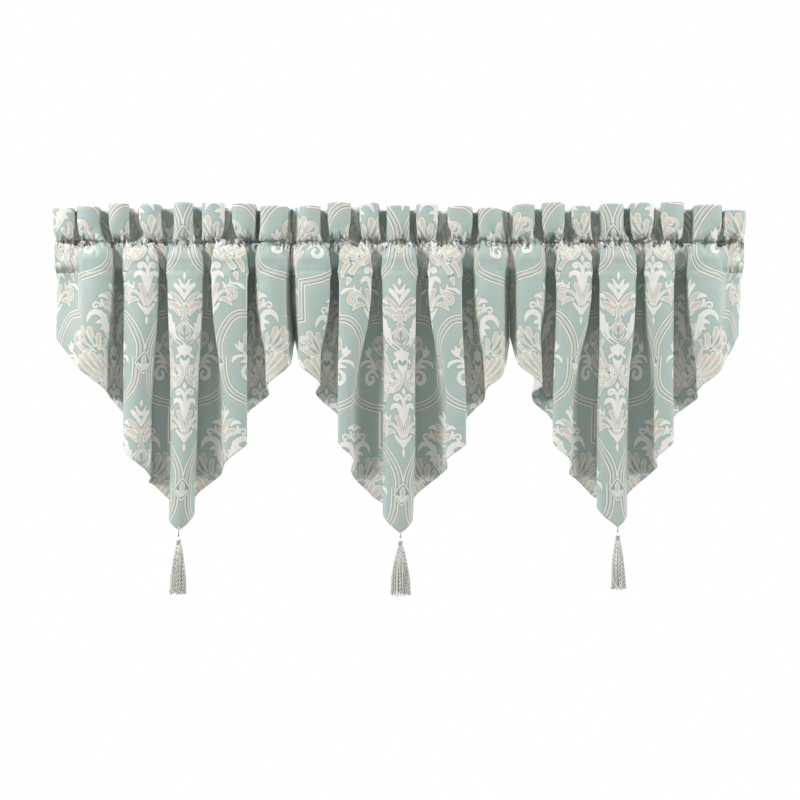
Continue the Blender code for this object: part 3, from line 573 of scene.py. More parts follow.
# %% Strokes of the palmette tree
# Each stroke: start, bend and end of the spine as across, down; half widths at start, middle and end.
# The tree is the same on both sides, so only its right half is drawn.
IVORY = (
    (0, 36.2, 0, 40, 0, 44.6, 0.2, 1.6, 0.2),           # bud
    (0, 51.2, 2.6, 50.4, 4.4, 44.6, 2.1, 1.6, 1.0),     # inner calyx
    (4.4, 44.6, 5.2, 43.2, 6.8, 43.6, 1.0, 0.7, 0.3),
    (0, 64.6, 0.6, 57.5, 8.4, 49.2, 0.4, 2.0, 2.2),     # outer calyx
    (8.4, 49.2, 9.6, 47.8, 10.2, 47.0, 1.9, 1.2, 0.4),
    (18.2, 74.8, 21.5, 96, 4.6, 107.6, 0.4, 1.0, 0.6),  # line round the wing
    (14.2, 76.6, 16.2, 86, 12.9, 91, 0.5, 1.5, 1.3),    # wing
    (12.9, 91, 12, 98, 5.4, 103.4, 1.3, 1.1, 0.5),
    (9.4, 86, 10.8, 89, 12, 94, 0.4, 1.5, 1.6),
    (0, 82.6, 4.6, 88.6, 8.2, 92.4, 0.5, 0.8, 0.9),     # onion-shaped frame
    (8.2, 92.4, 13, 98, 0, 106.6, 0.9, 0.9, 0.6),
    (0, 116, 0, 111, 0, 107.2, 4.4, 3.4, 0.3),          # crown
    (3, 115.6, 5.6, 113.2, 7.6, 109.4, 2.4, 1.7, 0.3),
    (1.6, 115.4, 3.2, 111.6, 4.4, 108.4, 2.4, 1.5, 0.3),
    (0, 119, 0, 123, 0, 131.4, 5.2, 4.8, 0.9),          # body round the heart
    (3, 118.4, 8, 117.8, 8.8, 122.4, 1.4, 1.5, 0.4),
    (0, 130, 0, 134, 0, 139, 1.2, 0.9, 0.6),
    (0, 145.4, 0, 149, 0, 152.6, 0.3, 1.9, 0.3),        # second bud
    (0, 167, -0.3, 160, 1.7, 155.4, 0.6, 1.4, 1.3),     # stems of the volutes
    (0, 184.5, 0.4, 170, 5, 163.6, 0.4, 2.8, 2.4),      # great fleur
    (5, 163.6, 10.4, 161, 12.6, 168.4, 2.4, 2.2, 0.4),
    (2.4, 199, 5.4, 197.4, 7.6, 193.4, 2.2, 1.6, 1.2),  # last calyx
    (7.6, 193.4, 8.4, 192.2, 9.6, 192.4, 1.1, 0.7, 0.3),
    (0, 204, 0, 201, 1.6, 199, 0.8, 2.8, 2.4),
    (0, 205.2, 0, 209, 0, 215, 0.2, 1.6, 0.2),          # hanging drop
    (12.2, 63, 15.5, 56, 22.6, 61.4, 0.8, 2.2, 0.4),    # leaf beside the lobes
    (18.6, 63.8, 18, 69.5, 13.6, 73, 1.3, 1.2, 0.6),    # stem of the small volute
    (10, 104, 10.6, 92, 14.4, 77.4, 0.5, 1.0, 0.6),     # acanthus stem and leaves
    (14.5, 84, 19.5, 74, 26.5, 75.8, 2.2, 2.9, 2.6),
    (26.5, 75.8, 31.5, 77.4, 33.6, 86.6, 2.6, 2.0, 0.4),
    (14, 89, 19.5, 82, 25, 87.6, 2.0, 2.1, 0.5),
    (13, 94, 18, 88.5, 20.4, 94, 1.6, 1.8, 0.4),
    (57, 114, 55.6, 109, 54.2, 105.4, 1.0, 1.5, 0.5),   # sprig
    (57.4, 114, 59, 108, 58.6, 103.6, 1.0, 1.6, 0.5),
    (57.8, 114.4, 61.6, 111, 63, 107.4, 1.0, 1.5, 0.5),
    (44.5, 127, 48.6, 119, 57.4, 114, 0.6, 1.0, 1.0),
    (46, 128, 52, 114.6, 64.5, 121, 0.6, 1.2, 1.9),
    (64.5, 121, 67, 123, 67.4, 127.4, 1.9, 1.3, 0.3),
    (47, 127.4, 53, 121.4, 60.4, 126.4, 0.5, 2.0, 0.3),
    (11.6, 178.4, 18, 171.8, 25, 173.6, 0.4, 0.9, 1.4), # leaves over the lower scroll
    (25, 173.6, 29.5, 174.6, 32.6, 179.4, 1.4, 2.0, 0.3),
    (12.6, 178.6, 20, 173.8, 26.4, 179, 0.3, 0.8, 0.5),
    (17.2, 167.2, 20.6, 171.4, 17.4, 175.8, 0.3, 0.9, 0.5),
    (13.4, 177, 13.2, 173.6, 11.6, 170.8, 0.9, 0.9, 0.3),
)
CREAM = (
    (1.2, 72, 4.5, 61, 13.6, 58.2, 1.4, 2.9, 3.1),      # lobes under the calyx
    (1.2, 78, 4.5, 69.5, 13.8, 67.2, 1.8, 3.1, 2.9),
    (2, 80, 5.5, 75, 12.6, 71.6, 2.4, 2.2, 1.3),
    (0, 67, 0, 76, 0, 84, 0.8, 4.6, 3.6),
    (0, 87.4, 0, 95.4, 0, 103.2, 0.5, 6.4, 0.8),        # inside of the frame
    (0.8, 137.5, 4, 145.5, 11.6, 150.6, 1.0, 2.4, 0.9), # leaves under the volutes
    (3, 138, 9, 142.5, 18.6, 146, 1.2, 2.6, 1.5),
    (10, 145, 19.5, 151, 22.6, 160.4, 1.4, 2.9, 3.3),
    (22.6, 160.4, 24.2, 165, 26, 170.6, 3.3, 2.4, 0.5),
    (20, 144, 29.5, 149.5, 30.6, 161.4, 1.8, 3.1, 1.6),
    (0.5, 196, 2.6, 184, 6.4, 174.8, 1.2, 2.1, 2.5),    # fingers of the lower palmette
    (0.6, 199, 6, 183, 14.6, 178.6, 1.1, 1.5, 1.9),     # arm of the lower scroll
    (8, 190.5, 14.4, 184.6, 20.8, 196.4, 0.8, 2.9, 0.4),
    (25, 114, 34, 109.6, 45.4, 99.4, 0.8, 3.7, 3.4),    # upper flower, lobe by lobe
    (25, 113, 35, 103, 40, 92, 0.8, 3.6, 3.4),
    (25, 112, 29.4, 104, 31, 92.6, 0.8, 3.2, 3.1),
    (24, 112, 23.4, 106, 22, 98.6, 0.8, 3.0, 2.8),
    (22, 113, 19, 109.6, 15.2, 104, 0.8, 2.6, 2.4),
    (27, 115, 36, 113.6, 45.6, 107.8, 0.8, 3.1, 2.7),
    (12, 142, 31, 138, 43, 120.8, 1.0, 4.0, 3.7),       # lower flower
    (12, 141, 27.5, 133, 36.6, 117.2, 1.0, 3.8, 3.3),
    (11, 140, 23.4, 130, 29.2, 117.8, 1.0, 3.5, 3.0),
    (9, 139, 17.4, 129, 22, 119.6, 1.0, 3.1, 2.6),
    (7, 138, 13.6, 127, 16.6, 113.8, 0.9, 2.7, 2.0),
    (14, 147, 28, 147.6, 39, 136, 1.0, 2.8, 1.4),
    (0, 243.4, 0, 248.5, 0, 256, 0.4, 2.7, 1.2),        # three leaves in the diamond
    (0.4, 260, 2.6, 254, 6.6, 251.8, 0.6, 1.4, 0.5),
)
# Openings in the leaves, where the ground shows through
OPEN = (
    (0, 89.4, 0, 92.6, 0, 97, 0.3, 1.4, 0.4),
    (0, 101.4, 2, 99.4, 5.4, 96, 0.5, 0.9, 0.5),
    (0, 103, 0, 100, 0, 97, 0.5, 0.5, 0.4),
    (0, 123.4, 1.5, 121.4, 2.7, 119.9, 0.6, 1.4, 1.8),
    (27.4, 110.6, 34, 104.6, 36, 97, 0.3, 1.5, 0.4),
    (25.6, 109, 27, 104, 26.4, 98.6, 0.3, 1.1, 0.3),
    (30, 112.6, 36, 110.6, 41, 105.2, 0.3, 1.1, 0.4),
    (19.4, 108.6, 18.4, 106.6, 18.8, 103.2, 0.3, 0.9, 0.3),
    (30, 133.5, 36, 129, 38.8, 123.4, 0.2, 0.6, 0.2),
    (24, 134, 30, 128, 32.6, 121.6, 0.2, 0.6, 0.2),
    (18, 133, 22.6, 128, 25, 122.6, 0.2, 0.6, 0.2),
)
# Scrolls: middle across, down; radius at start, end; turn at start, end in degrees;
# half width at start, middle, end
IVORY_SCROLLS = (
    (6.2, 155.8, 4.3, 0.8, 175, 560, 1.3, 1.1, 1.2),
    (24, 69.4, 4.3, 1.1, 165, 520, 0.9, 1.0, 1.0),
    (51.5, 136.6, 8.6, 2.4, 190, 600, 0.9, 2.3, 1.5),
)
CREAM_SCROLLS = (
    (7.6, 133.2, 5.4, 0.9, 130, 560, 1.6, 1.8, 1.5),
    (47, 102.6, 9.6, 1.9, 130, 580, 1.0, 2.1, 1.2),
    (19.6, 184.8, 6.0, 1.7, 225, 560, 2.0, 2.2, 2.2),
)
print("strokes:", len(IVORY), "ivory,", len(CREAM), "cream,", len(OPEN), "open,",
      len(IVORY_SCROLLS) + len(CREAM_SCROLLS), "scrolls")

# %% [markdown]
# Each stroke becomes a row of round dabs, and the drawing's value at a place is the distance to the nearest
# dab's rim: negative inside, positive outside. Distances can be cut at any level, so one number gives a
# leaf's fill, its pale rim and its dark outline. For cream leaves the second nearest stroke is kept as well,
# because its difference from the nearest marks where one petal ends and the next starts.

# %% Distances to strokes
def dabs_of_stroke(stroke):
    """Middles and radii of the dabs along a bent spine."""
    x0, y0, x1, y1, x2, y2, r0, r1, r2 = stroke
    length = math.hypot(x1 - x0, y1 - y0) + math.hypot(x2 - x1, y2 - y1)
    t = np.linspace(0.0, 1.0, int(LEAST_DABS + length / DAB_SPACING))
    spine_x = (1 - t) ** 2 * x0 + 2 * t * (1 - t) * x1 + t ** 2 * x2
    spine_y = (1 - t) ** 2 * y0 + 2 * t * (1 - t) * y1 + t ** 2 * y2
    radius = curve_through(t, ((0.0, r0), (0.5, r1), (1.0, r2)))
    return spine_x, spine_y, radius


def dabs_of_scroll(scroll):
    """Middles and radii of the dabs along a spiral."""
    middle_x, middle_y, r_start, r_end, turn_start, turn_end, half_start, half_middle, half_end = scroll
    t = np.linspace(0.0, 1.0, SCROLL_DABS)
    turn = np.radians(turn_start + (turn_end - turn_start) * t)
    reach = r_start + (r_end - r_start) * t
    return (middle_x + reach * np.cos(turn), middle_y + reach * np.sin(turn),
            curve_through(t, ((0.0, half_start), (0.5, half_middle), (1.0, half_end))))


def nearest_two(across, down, shapes):
    """Distance to the nearest and to the second nearest shape's rim."""
    first = np.full(across.shape, FAR)
    second = np.full(across.shape, FAR)
    for x, y, radius in shapes:
        reach = radius.max() + FAR
        close = ((across > x.min() - reach) & (across < x.max() + reach)
                 & (down > y.min() - reach) & (down < y.max() + reach))
        spot = np.nonzero(close)[0]
        if len(spot) == 0:
            continue
        off = np.hypot(across[spot, None] - x, down[spot, None] - y) - radius
        off = np.minimum(off.min(axis=1), FAR)
        nearer = off < first[spot]
        second[spot] = np.where(nearer, first[spot], np.minimum(second[spot], off))
        first[spot] = np.where(nearer, off, first[spot])
    return first, second


def ribbon_offset(across, down):
    """Distance from the nearest ribbon's middle, and its side: 1 on the side of the faint line."""
    nearest = np.full(across.shape, np.inf)
    best = np.full(across.shape, RIBBON_FAR)
    path = np.array(RIBBON, dtype=float)
    mirrored = np.stack((COLUMN - path[:, 0], DROP + path[:, 1]), axis=1)
    for points, side in ((path, 1), (mirrored, -1), (path + (0, REPEAT), 1), (mirrored - (0, REPEAT), -1)):
        start, end = points[:-1], points[1:]
        along = end - start
        length = np.hypot(along[:, 0], along[:, 1])
        along = along / length[:, None]
        rel_x = across[:, None] - start[:, 0]
        rel_y = down[:, None] - start[:, 1]
        share = rel_x * along[:, 0] + rel_y * along[:, 1]
        level = side * (rel_y * along[:, 0] - rel_x * along[:, 1])
        inside = np.clip(share, 0.0, length)
        off = np.hypot(rel_x - inside * along[:, 0], rel_y - inside * along[:, 1])
        i = off.argmin(axis=1)
        row = np.arange(len(across))
        here = share[row, i]
        value = level[row, i]
        for step, at_end in ((1, here > length[i]), (-1, here < 0)):
            other = np.clip(i + step, 0, len(length) - 1)
            cornered = at_end & (np.abs(level[row, other]) > np.abs(value))
            value = np.where(cornered, level[row, other], value)
        nearer = off[row, i] < nearest
        nearest = np.where(nearer, off[row, i], nearest)
        best = np.where(nearer, value, best)
    return np.clip(np.abs(best), 0.0, RIBBON_FAR), np.clip(best, -1.0, 1.0)


def damask(cloth, height):
    """The drawing's distances at places of the flat cloth, by the name of what they are distances to."""
    across = np.abs(np.mod(cloth / UNIT + COLUMN, 2 * COLUMN) - COLUMN)
    down = np.mod(PATTERN_TOP - height / UNIT - DOWN_FROM, REPEAT) + DOWN_FROM
    next_across = COLUMN - across
    next_down = np.mod(down - DROP - DOWN_FROM, REPEAT) + DOWN_FROM
    sets = {"ivory": [dabs_of_stroke(s) for s in IVORY] + [dabs_of_scroll(s) for s in IVORY_SCROLLS],
            "cream": [dabs_of_stroke(s) for s in CREAM] + [dabs_of_scroll(s) for s in CREAM_SCROLLS],
            "open": [dabs_of_stroke(s) for s in OPEN]}
    fields = {}
    for kind, shapes in sets.items():
        first, second = nearest_two(across, down, shapes)
        other_first, other_second = nearest_two(next_across, next_down, shapes)
        fields[kind] = np.minimum(first, other_first)
        if kind == "cream":
            low = np.maximum(first, other_first)
            fields["petal"] = np.minimum(np.minimum(second, other_second), low) - fields[kind]
    fields["ribbon"], fields["ribbon_side"] = ribbon_offset(across, down)
    half_width, half_height = DIAMOND
    reach = 1 / math.hypot(1 / half_width, 1 / half_height)
    here, there = ((x / half_width) ** DIAMOND_POWER + (np.abs(y - REPEAT) / half_height) ** DIAMOND_POWER
                   for x, y in ((across, down), (next_across, next_down)))
    fields["diamond"] = np.minimum((np.minimum(here, there) - 1) * reach, FAR)
    return fields


sample = damask(np.linspace(0, 200, 5), np.linspace(0, -200, 5))
print("fields of the damask:", ", ".join(sample))

# %% [markdown]
# Now the cloth itself. A woven panel is one thin sheet, turned over at the top to the back and sewn down
# along two lines. The mesh is that sheet with its true thickness: a fine front skin, a coarser back skin and
# the walls of the pocket between the stitch lines. It could be made by thickening one grid, but the pocket
# needs two walls that part at the upper seam and meet again at the lower one.

# %% Fine grid of one panel
COLUMNS = 361               # columns across the cloth, 3.6 mm apart
HEADING_STEPS = 26          # rows of the heading and of the pocket
POCKET_STEPS = 20
HEADING_CROWDING = 1.5      # above 1 the rows lie closer together near the upper seam
POCKET_CROWDING = 1.4
BODY_STEP = 3.6             # mm between the rows of the body
BACK_ROWS_EVERY = 3         # the body's back needs a third of the rows
WALL = 0.7                  # half the thickness of one layer of cloth
SAG_REACH = 70.0            # cloth each side of the centre line whose heading is set on its own
SAG_FROM = 4.0              # mm below the upper seam where that starts
SAG_ONSET = 10.0            # mm over which it sets in
BACK_SEED = 20              # added to a panel's seed for the pocket's back wall
# Half the thickness at a height: one layer, more where it is stitched, two layers in the heading
HALF_WALLS = ((-60, 0.7), (-38, 1.2), (-30, 0.7), (30, 0.7), (38, 1.2), (46, 1.8))
print("columns of the cloth:", COLUMNS, "and", round(CLOTH_WIDTH / (COLUMNS - 1), 1), "mm apart")


def facing(sheet):
    """Unit normals of a sheet, towards the room on its ridges and straight to it at the side edges."""
    normal = np.cross(np.gradient(sheet, axis=0), np.gradient(sheet, axis=1))
    length = np.linalg.norm(normal, axis=-1, keepdims=True)
    normal = np.where(length > 1e-6, normal / np.maximum(length, 1e-6), (0.0, -1.0, 0.0))
    normal[:, (0, -1)] = (0.0, -1.0, 0.0)
    return normal


def grid_at(group, z):
    """Points of one group of stations at heights z."""
    return np.stack((curve_down(z, group[2], group[0]), curve_down(z, group[2], group[1]), z), axis=-1)


def panel_grids(panel, seed):
    """Front, back and pocket grids of a panel, the hem's row in each column, and the flat heights."""
    cloth = np.linspace(-CLOTH_HALF, CLOTH_HALF, COLUMNS)
    (heading, pocket, back, body), top, hem = stations(panel, cloth)
    level = np.ones(COLUMNS)
    share = (np.linspace(1, 0, HEADING_STEPS + 1) ** HEADING_CROWDING)[:, None]
    z_heading = HEADING_SEAM + share * (top - HEADING_SEAM)
    share = (np.linspace(0, 1, POCKET_STEPS + 1) ** POCKET_CROWDING)[:, None]
    z_pocket = HEADING_SEAM + share * (POCKET_SEAM - HEADING_SEAM) * level
    rows = np.round((POCKET_SEAM - hem) / BODY_STEP).astype(int)
    z_body = POCKET_SEAM - BODY_STEP * np.arange(rows.max() + 1)[:, None] * level
    middle = np.concatenate((grid_at(heading, z_heading), grid_at(pocket, z_pocket)[1:],
                             grid_at(body, z_body)[1:]))
    seam = HEADING_STEPS
    foot = HEADING_STEPS + POCKET_STEPS
    normal = facing(middle)
    end = foot + rows
    middle[end, np.arange(COLUMNS)] = body[:, -1].T
    height = middle[..., 2].copy()
    across = np.broadcast_to(cloth, height.shape)
    middle = middle + normal * relief(across, height, seed)[..., None]
    half = np.interp(height, *zip(*HALF_WALLS))[..., None]
    front = middle + normal * half
    behind = middle - normal * half
    wall = grid_at(back, z_pocket)
    wall_normal = facing(wall)
    wall = wall - wall_normal * relief(across[:POCKET_STEPS + 1], z_pocket, seed + BACK_SEED)[..., None]
    behind[seam + 1:foot] = (wall - wall_normal * WALL)[1:-1]
    inner = slice(seam + 2, foot, 2)
    tunnel = np.concatenate((middle[seam:seam + 1], (middle - normal * WALL)[inner],
                             middle[foot:foot + 1], (wall + wall_normal * WALL)[2:-1:2][::-1]))
    return front, behind, tunnel, end, across, height, top, seam, foot


# %% One closed mesh from the grids
def strips(rows):
    """Faces between neighbouring rows of vertex numbers; a face whose side has closed up is a triangle."""
    upper, lower = rows[:-1], rows[1:]
    quads = np.stack((upper[:, :-1], upper[:, 1:], lower[:, 1:], lower[:, :-1]), axis=-1).reshape(-1, 4)
    left_shut = quads[:, 0] == quads[:, 3]
    right_shut = quads[:, 1] == quads[:, 2]
    return (quads[~left_shut & ~right_shut].tolist()
            + quads[left_shut & ~right_shut][:, (0, 1, 2)].tolist()
            + quads[~left_shut & right_shut][:, (0, 1, 3)].tolist())


def side_faces(front, back, walls, tunnel_rows, seam, foot):
    """Faces that close the panel along one side edge; each argument is that side's vertex numbers."""
    faces = []
    inner = {seam: tunnel_rows[0], foot: tunnel_rows[walls]}
    outer = dict(inner)
    for k, row in enumerate(range(seam + 2, foot, 2), 1):
        inner[row] = tunnel_rows[k]
        outer[row] = tunnel_rows[-k]
    stops = list(range(0, foot, 2)) + list(range(foot, len(front), BACK_ROWS_EVERY)) + [len(front) - 1]
    for upper, lower in zip(stops, stops[1:]):
        edge = list(dict.fromkeys(front[upper:lower + 1]))
        if len(edge) < 2:
            continue
        if seam <= upper < foot:
            faces.append(edge + [inner[lower], inner[upper]])
            faces.append([back[upper], back[lower], outer[lower], outer[upper]])
        else:
            faces.append(edge + [back[lower], back[upper]])
    faces.append([front[seam], inner[seam], back[seam]])
    faces.append([front[foot], inner[foot], back[foot]])
    return faces


def panel_mesh(name, panel, seed):
    """Closed mesh of one panel, and each vertex's place in the flat cloth."""
    front, behind, tunnel, end, across, height, top, seam, foot = panel_grids(panel, seed)
    row = np.minimum(np.arange(len(front))[:, None], end)
    numbers = row * COLUMNS + np.arange(COLUMNS)
    back_numbers = numbers + front[..., 0].size
    tunnel_numbers = (np.arange(len(tunnel) * COLUMNS) + 2 * front[..., 0].size).reshape(-1, COLUMNS)
    upper_stops = list(range(0, foot + 1, 2))
    body_stops = list(range(foot, len(front), BACK_ROWS_EVERY)) + [len(front) - 1]
    face_side = strips(numbers) + strips(np.stack((numbers[0], back_numbers[0])))
    face_side += strips(back_numbers[upper_stops]) + strips(np.stack((numbers[-1], back_numbers[-1])))
    walls = POCKET_STEPS // 2
    for column in (0, COLUMNS - 1):
        face_side += side_faces(numbers[:, column].tolist(), back_numbers[:, column].tolist(), walls,
                                tunnel_numbers[:, column].tolist(), seam, foot)
    reverse_side = strips(back_numbers[body_stops])
    reverse_side += strips(np.concatenate((tunnel_numbers, tunnel_numbers[:1])))

    points = np.concatenate([grid.reshape(-1, 3) for grid in (front, behind, tunnel)])
    faces = face_side + reverse_side
    used = np.unique(np.concatenate([np.array(face) for face in faces]))
    new_number = np.zeros(len(points), dtype=int)
    new_number[used] = np.arange(len(used))
    outer_sag, middle_sag = panel["sag"]
    sag = outer_sag + (middle_sag - outer_sag) * np.exp(-(across / SAG_REACH) ** 2)
    sag = sag * ease((height - HEADING_SEAM + SAG_FROM) / SAG_ONSET) + panel["shift"]
    flat = np.concatenate((np.stack((across, height + sag), axis=-1).reshape(-1, 2),
                           np.stack((across, 2 * top - height + sag), axis=-1).reshape(-1, 2),
                           np.zeros((tunnel[..., 0].size, 2))))[used]
    mesh = bpy.data.meshes.new(name)
    place = (points[used] + (panel["middle"], 0.0, 0.0)) * MM
    mesh.from_pydata(place, [], [[int(new_number[corner]) for corner in face] for face in faces])
    mesh.polygons.foreach_set("material_index", [0] * len(face_side) + [1] * len(reverse_side))
    bm = bmesh.new()
    bm.from_mesh(mesh)
    bmesh.ops.recalc_face_normals(bm, faces=bm.faces)
    bm.to_mesh(mesh)
    bm.free()
    mesh.shade_smooth()
    return mesh, flat


# %% [markdown]
# Each vertex of the cloth keeps its place in the flat panel, in millimetres, and the drawing's distances
# there. So the pattern bends and disappears into the folds as a woven one does. A projected image would
# slide over the folds instead.

# %% Make the three panels
def keep_numbers(mesh, name, values):
    """Stores one number at each vertex, for the material to read."""
    layer = mesh.attributes.new(name, "FLOAT", "POINT")
    layer.data.foreach_set("value", np.ascontiguousarray(values, dtype=np.float32))


GATHER_REACH = 16.0         # mm above and below the upper seam where the thread draws fine creases
GATHER_FADE = 1.5           # the higher, the more sharply they end there
valances = {}
for side, seed in (("left", 31), ("middle", 47), ("right", 73)):
    mesh, flat = panel_mesh("valance_cloth_" + side, PANELS[side], seed)
    for name, values in damask(flat[:, 0], flat[:, 1]).items():
        keep_numbers(mesh, name, values)
    keep_numbers(mesh, "across", flat[:, 0])
    keep_numbers(mesh, "height", flat[:, 1])
    rise = np.array([vertex.co.z for vertex in mesh.vertices]) / MM
    keep_numbers(mesh, "gathered", np.exp(-(np.abs(rise - HEADING_SEAM) / GATHER_REACH) ** GATHER_FADE))
    thing = bpy.data.objects.new("valance_cloth_" + side, mesh)
    bpy.context.scene.collection.objects.link(thing)
    valances[side] = thing
    triangles = sum(len(face.vertices) - 2 for face in mesh.polygons)
    print(thing.name, "has", triangles, "triangles")

# %% [markdown]
# The damask's material cuts the woven distances at a few levels. On the real cloth the sage ground is a
# satin with a soft gloss, and ivory and cream threads float over it, so they are duller and a hair higher.
# A slub, which is the thicker part of an uneven thread, draws faint lines across the width. Threads are too
# fine for the picture, so the weave is drawn about three times coarser than it is.

# %% Tints and masks of the weave
GROUND = colour("A7B7B1")   # sage satin where its threads are thick, and where they are thin
GROUND_DEEP = colour("96A6A0")
IVORY_TINT = colour("D3D3CC")
CREAM_TINT = colour("BFB9AB")
BEIGE_TINT = colour("B0AEA3")
OUTLINE = colour("7E918B")  # dark line round a leaf and between petals
OPEN_TINT = colour("8FA29B")
RIBBON_GAP = colour("87968F")
RIBBON_TINT = colour("BDBDB3")
EDGE = 0.35                 # units of the drawing over which an edge fades, on each side


def cut(tree, field, level):
    """1 where the field is below the level, and 0 above, with a soft edge."""
    ramp = node(tree, "MapRange", {"From Min": level - EDGE, "From Max": level + EDGE,
                                   "To Min": 1.0, "To Max": 0.0}, Value=field)
    return ramp.outputs["Result"]


def both(tree, one, other):
    """1 where two masks are both 1."""
    return node(tree, "Math", {"operation": "MULTIPLY"}, i0=one, i1=other).outputs[0]


def band(tree, field, low, high):
    """1 between two levels of a field."""
    below = cut(tree, field, high)
    inner = cut(tree, field, low)
    left = node(tree, "Math", {"operation": "SUBTRACT", "use_clamp": True}, i0=below, i1=inner)
    return left.outputs[0]


def over(tree, under, tint, mask):
    """Lays a colour over another where the mask says."""
    return node(tree, "MixRGB", {"Color2": tint}, Fac=mask, Color1=under).outputs["Color"]


def grained(tree, tint, noise, darkest, lightest):
    """A colour that a noise makes darker and lighter; the noise is mostly between 0.3 and 0.7."""
    grain = node(tree, "MapRange", {"From Min": 0.3, "From Max": 0.7, "To Min": darkest, "To Max": lightest},
                 Value=noise)
    shaded = node(tree, "MixRGB", {"blend_type": "MULTIPLY", "Fac": 1.0}, Color1=tint,
                  Color2=grain.outputs[0])
    return shaded.outputs["Color"]


print("ivory in linear light:", [round(c, 3) for c in IVORY_TINT[:3]])

# %% Material of the face of the cloth
# Waves of noise for each mm across the cloth and for each mm down it
SLUB_SCALE = (0.012, 0.9, 1.0)
WARP_SCALE = (1.1, 0.04, 1.0)
CREASE_SCALE = (0.13, 0.028, 1.0)
FIELDS = ("ivory", "cream", "petal", "open", "ribbon", "ribbon_side", "diamond", "across", "height",
          "gathered")
# The ribbon's lines, from its outer side to its inner one: levels of its two sides and tint
RIBBON_LINES = ((-4.6, 4.6, RIBBON_GAP), (-4.1, -2.7, IVORY_TINT), (-1.4, 1.2, RIBBON_TINT),
                (2.7, 4.1, IVORY_TINT), (5.3, 6.9, BEIGE_TINT))
RIBBON_REACH = 7.4
# Layers, each over the one before: field, level and tint. The diamond at each crossing comes first, then the
# cream leaves with a pale rim; after them the rim and the dark line of each petal, the ivory strokes over
# everything, and the openings
LEAF_LAYERS = (("diamond", 0.6, OUTLINE), ("diamond", 0.0, IVORY_TINT), ("diamond", -1.4, RIBBON_GAP),
               ("cream", 0.55, OUTLINE), ("cream", 0.0, IVORY_TINT), ("cream", -0.9, CREAM_TINT))
PETAL_LAYERS = ((1.7, IVORY_TINT), (0.6, OUTLINE))
UPPER_LAYERS = (("ivory", 0.5, OUTLINE), ("ivory", 0.1, IVORY_TINT), ("open", 0.1, OPEN_TINT))

damask_cloth, tree, shader = new_material("jacquard damask, face", 0.5, base="B4C4BE")
field = {name: node(tree, "Attribute", {"attribute_name": name}).outputs["Fac"] for name in FIELDS}
place = node(tree, "CombineXYZ", X=field["across"], Y=field["height"]).outputs[0]
slub = stretched_noise(tree, SLUB_SCALE, 3.0, place=place)
warp = stretched_noise(tree, WARP_SCALE, 2.0, place=place)
thread = node(tree, "Math", {"operation": "MULTIPLY_ADD", 1: 0.6, 2: 0.0}, i0=slub)
thread = node(tree, "Math", {"operation": "MULTIPLY_ADD", 1: 0.4}, i0=warp, i2=thread.outputs[0]).outputs[0]

tint = node(tree, "MixRGB", {"Color1": GROUND_DEEP, "Color2": GROUND}, Fac=thread).outputs["Color"]
away = node(tree, "Math", {"operation": "MAXIMUM", 1: 1.0}, i0=field["ribbon"])
signed = both(tree, away.outputs[0], field["ribbon_side"])
near_ribbon = cut(tree, field["ribbon"], RIBBON_REACH)
for low, high, line in RIBBON_LINES:
    tint = over(tree, tint, line, both(tree, band(tree, signed, low, high), near_ribbon))
for name, level, layer in LEAF_LAYERS:
    tint = over(tree, tint, layer, cut(tree, field[name], level))
inside = cut(tree, field["cream"], -0.2)
for level, layer in PETAL_LAYERS:
    tint = over(tree, tint, layer, both(tree, cut(tree, field["petal"], level), inside))
for name, level, layer in UPPER_LAYERS:
    tint = over(tree, tint, layer, cut(tree, field[name], level))
tree.links.new(grained(tree, tint, thread, 0.93, 1.05), shader.inputs["Base Color"])
print("layers of the damask:", len(RIBBON_LINES) + len(LEAF_LAYERS) + len(PETAL_LAYERS) + len(UPPER_LAYERS))

# %% [markdown]
# Gloss and relief follow the same masks. A float is duller than the satin and stands a little higher. The
# finest creases at the upper stitches are narrower than the mesh's columns, so a bump draws them, and it
# fades out with the distance from the stitches. Finer columns would show them too, at many times the size.

# %% Gloss and relief of the face
FLOAT_HEIGHT = 0.5          # height of a float, against the unevenness of a thread
WEAVE_DEPTH = 0.0004        # metres
CREASE_DEPTH = 0.011        # metres, in the fine creases that the stitches draw

raised = node(tree, "Math", {"operation": "MAXIMUM"}, i0=cut(tree, field["ivory"], 0.1),
              i1=cut(tree, field["cream"], 0.0)).outputs[0]
rough = node(tree, "MapRange", {"To Min": 0.5, "To Max": 0.65}, Value=raised)
tree.links.new(rough.outputs[0], shader.inputs["Roughness"])
weave = node(tree, "Math", {"operation": "MULTIPLY_ADD", 1: FLOAT_HEIGHT}, i0=raised, i2=thread)
bump = node(tree, "Bump", {"Strength": 0.35, "Distance": WEAVE_DEPTH}, Height=weave.outputs[0])
crease = stretched_noise(tree, CREASE_SCALE, 1.5, distortion=0.6, place=place)
bump = node(tree, "Bump", {"Strength": 1.0, "Distance": CREASE_DEPTH}, Normal=bump.outputs["Normal"],
            Height=both(tree, crease, field["gathered"]))
tree.links.new(bump.outputs["Normal"], shader.inputs["Normal"])
shader.inputs["Specular IOR Level"].default_value = 0.35
shader.inputs["Sheen Weight"].default_value = 0.1
shader.inputs["Sheen Roughness"].default_value = 0.4
print("nodes in the face of the cloth:", len(tree.nodes))

# %% [markdown]
# The reverse shows only where an edge curls and behind the pleats. There the floats run on the other side,
# so it is a plain pale cloth with a fine rib.

# %% Material of the reverse
RIB_SCALE = (500.0, 500.0, 60.0)        # waves of noise for each metre

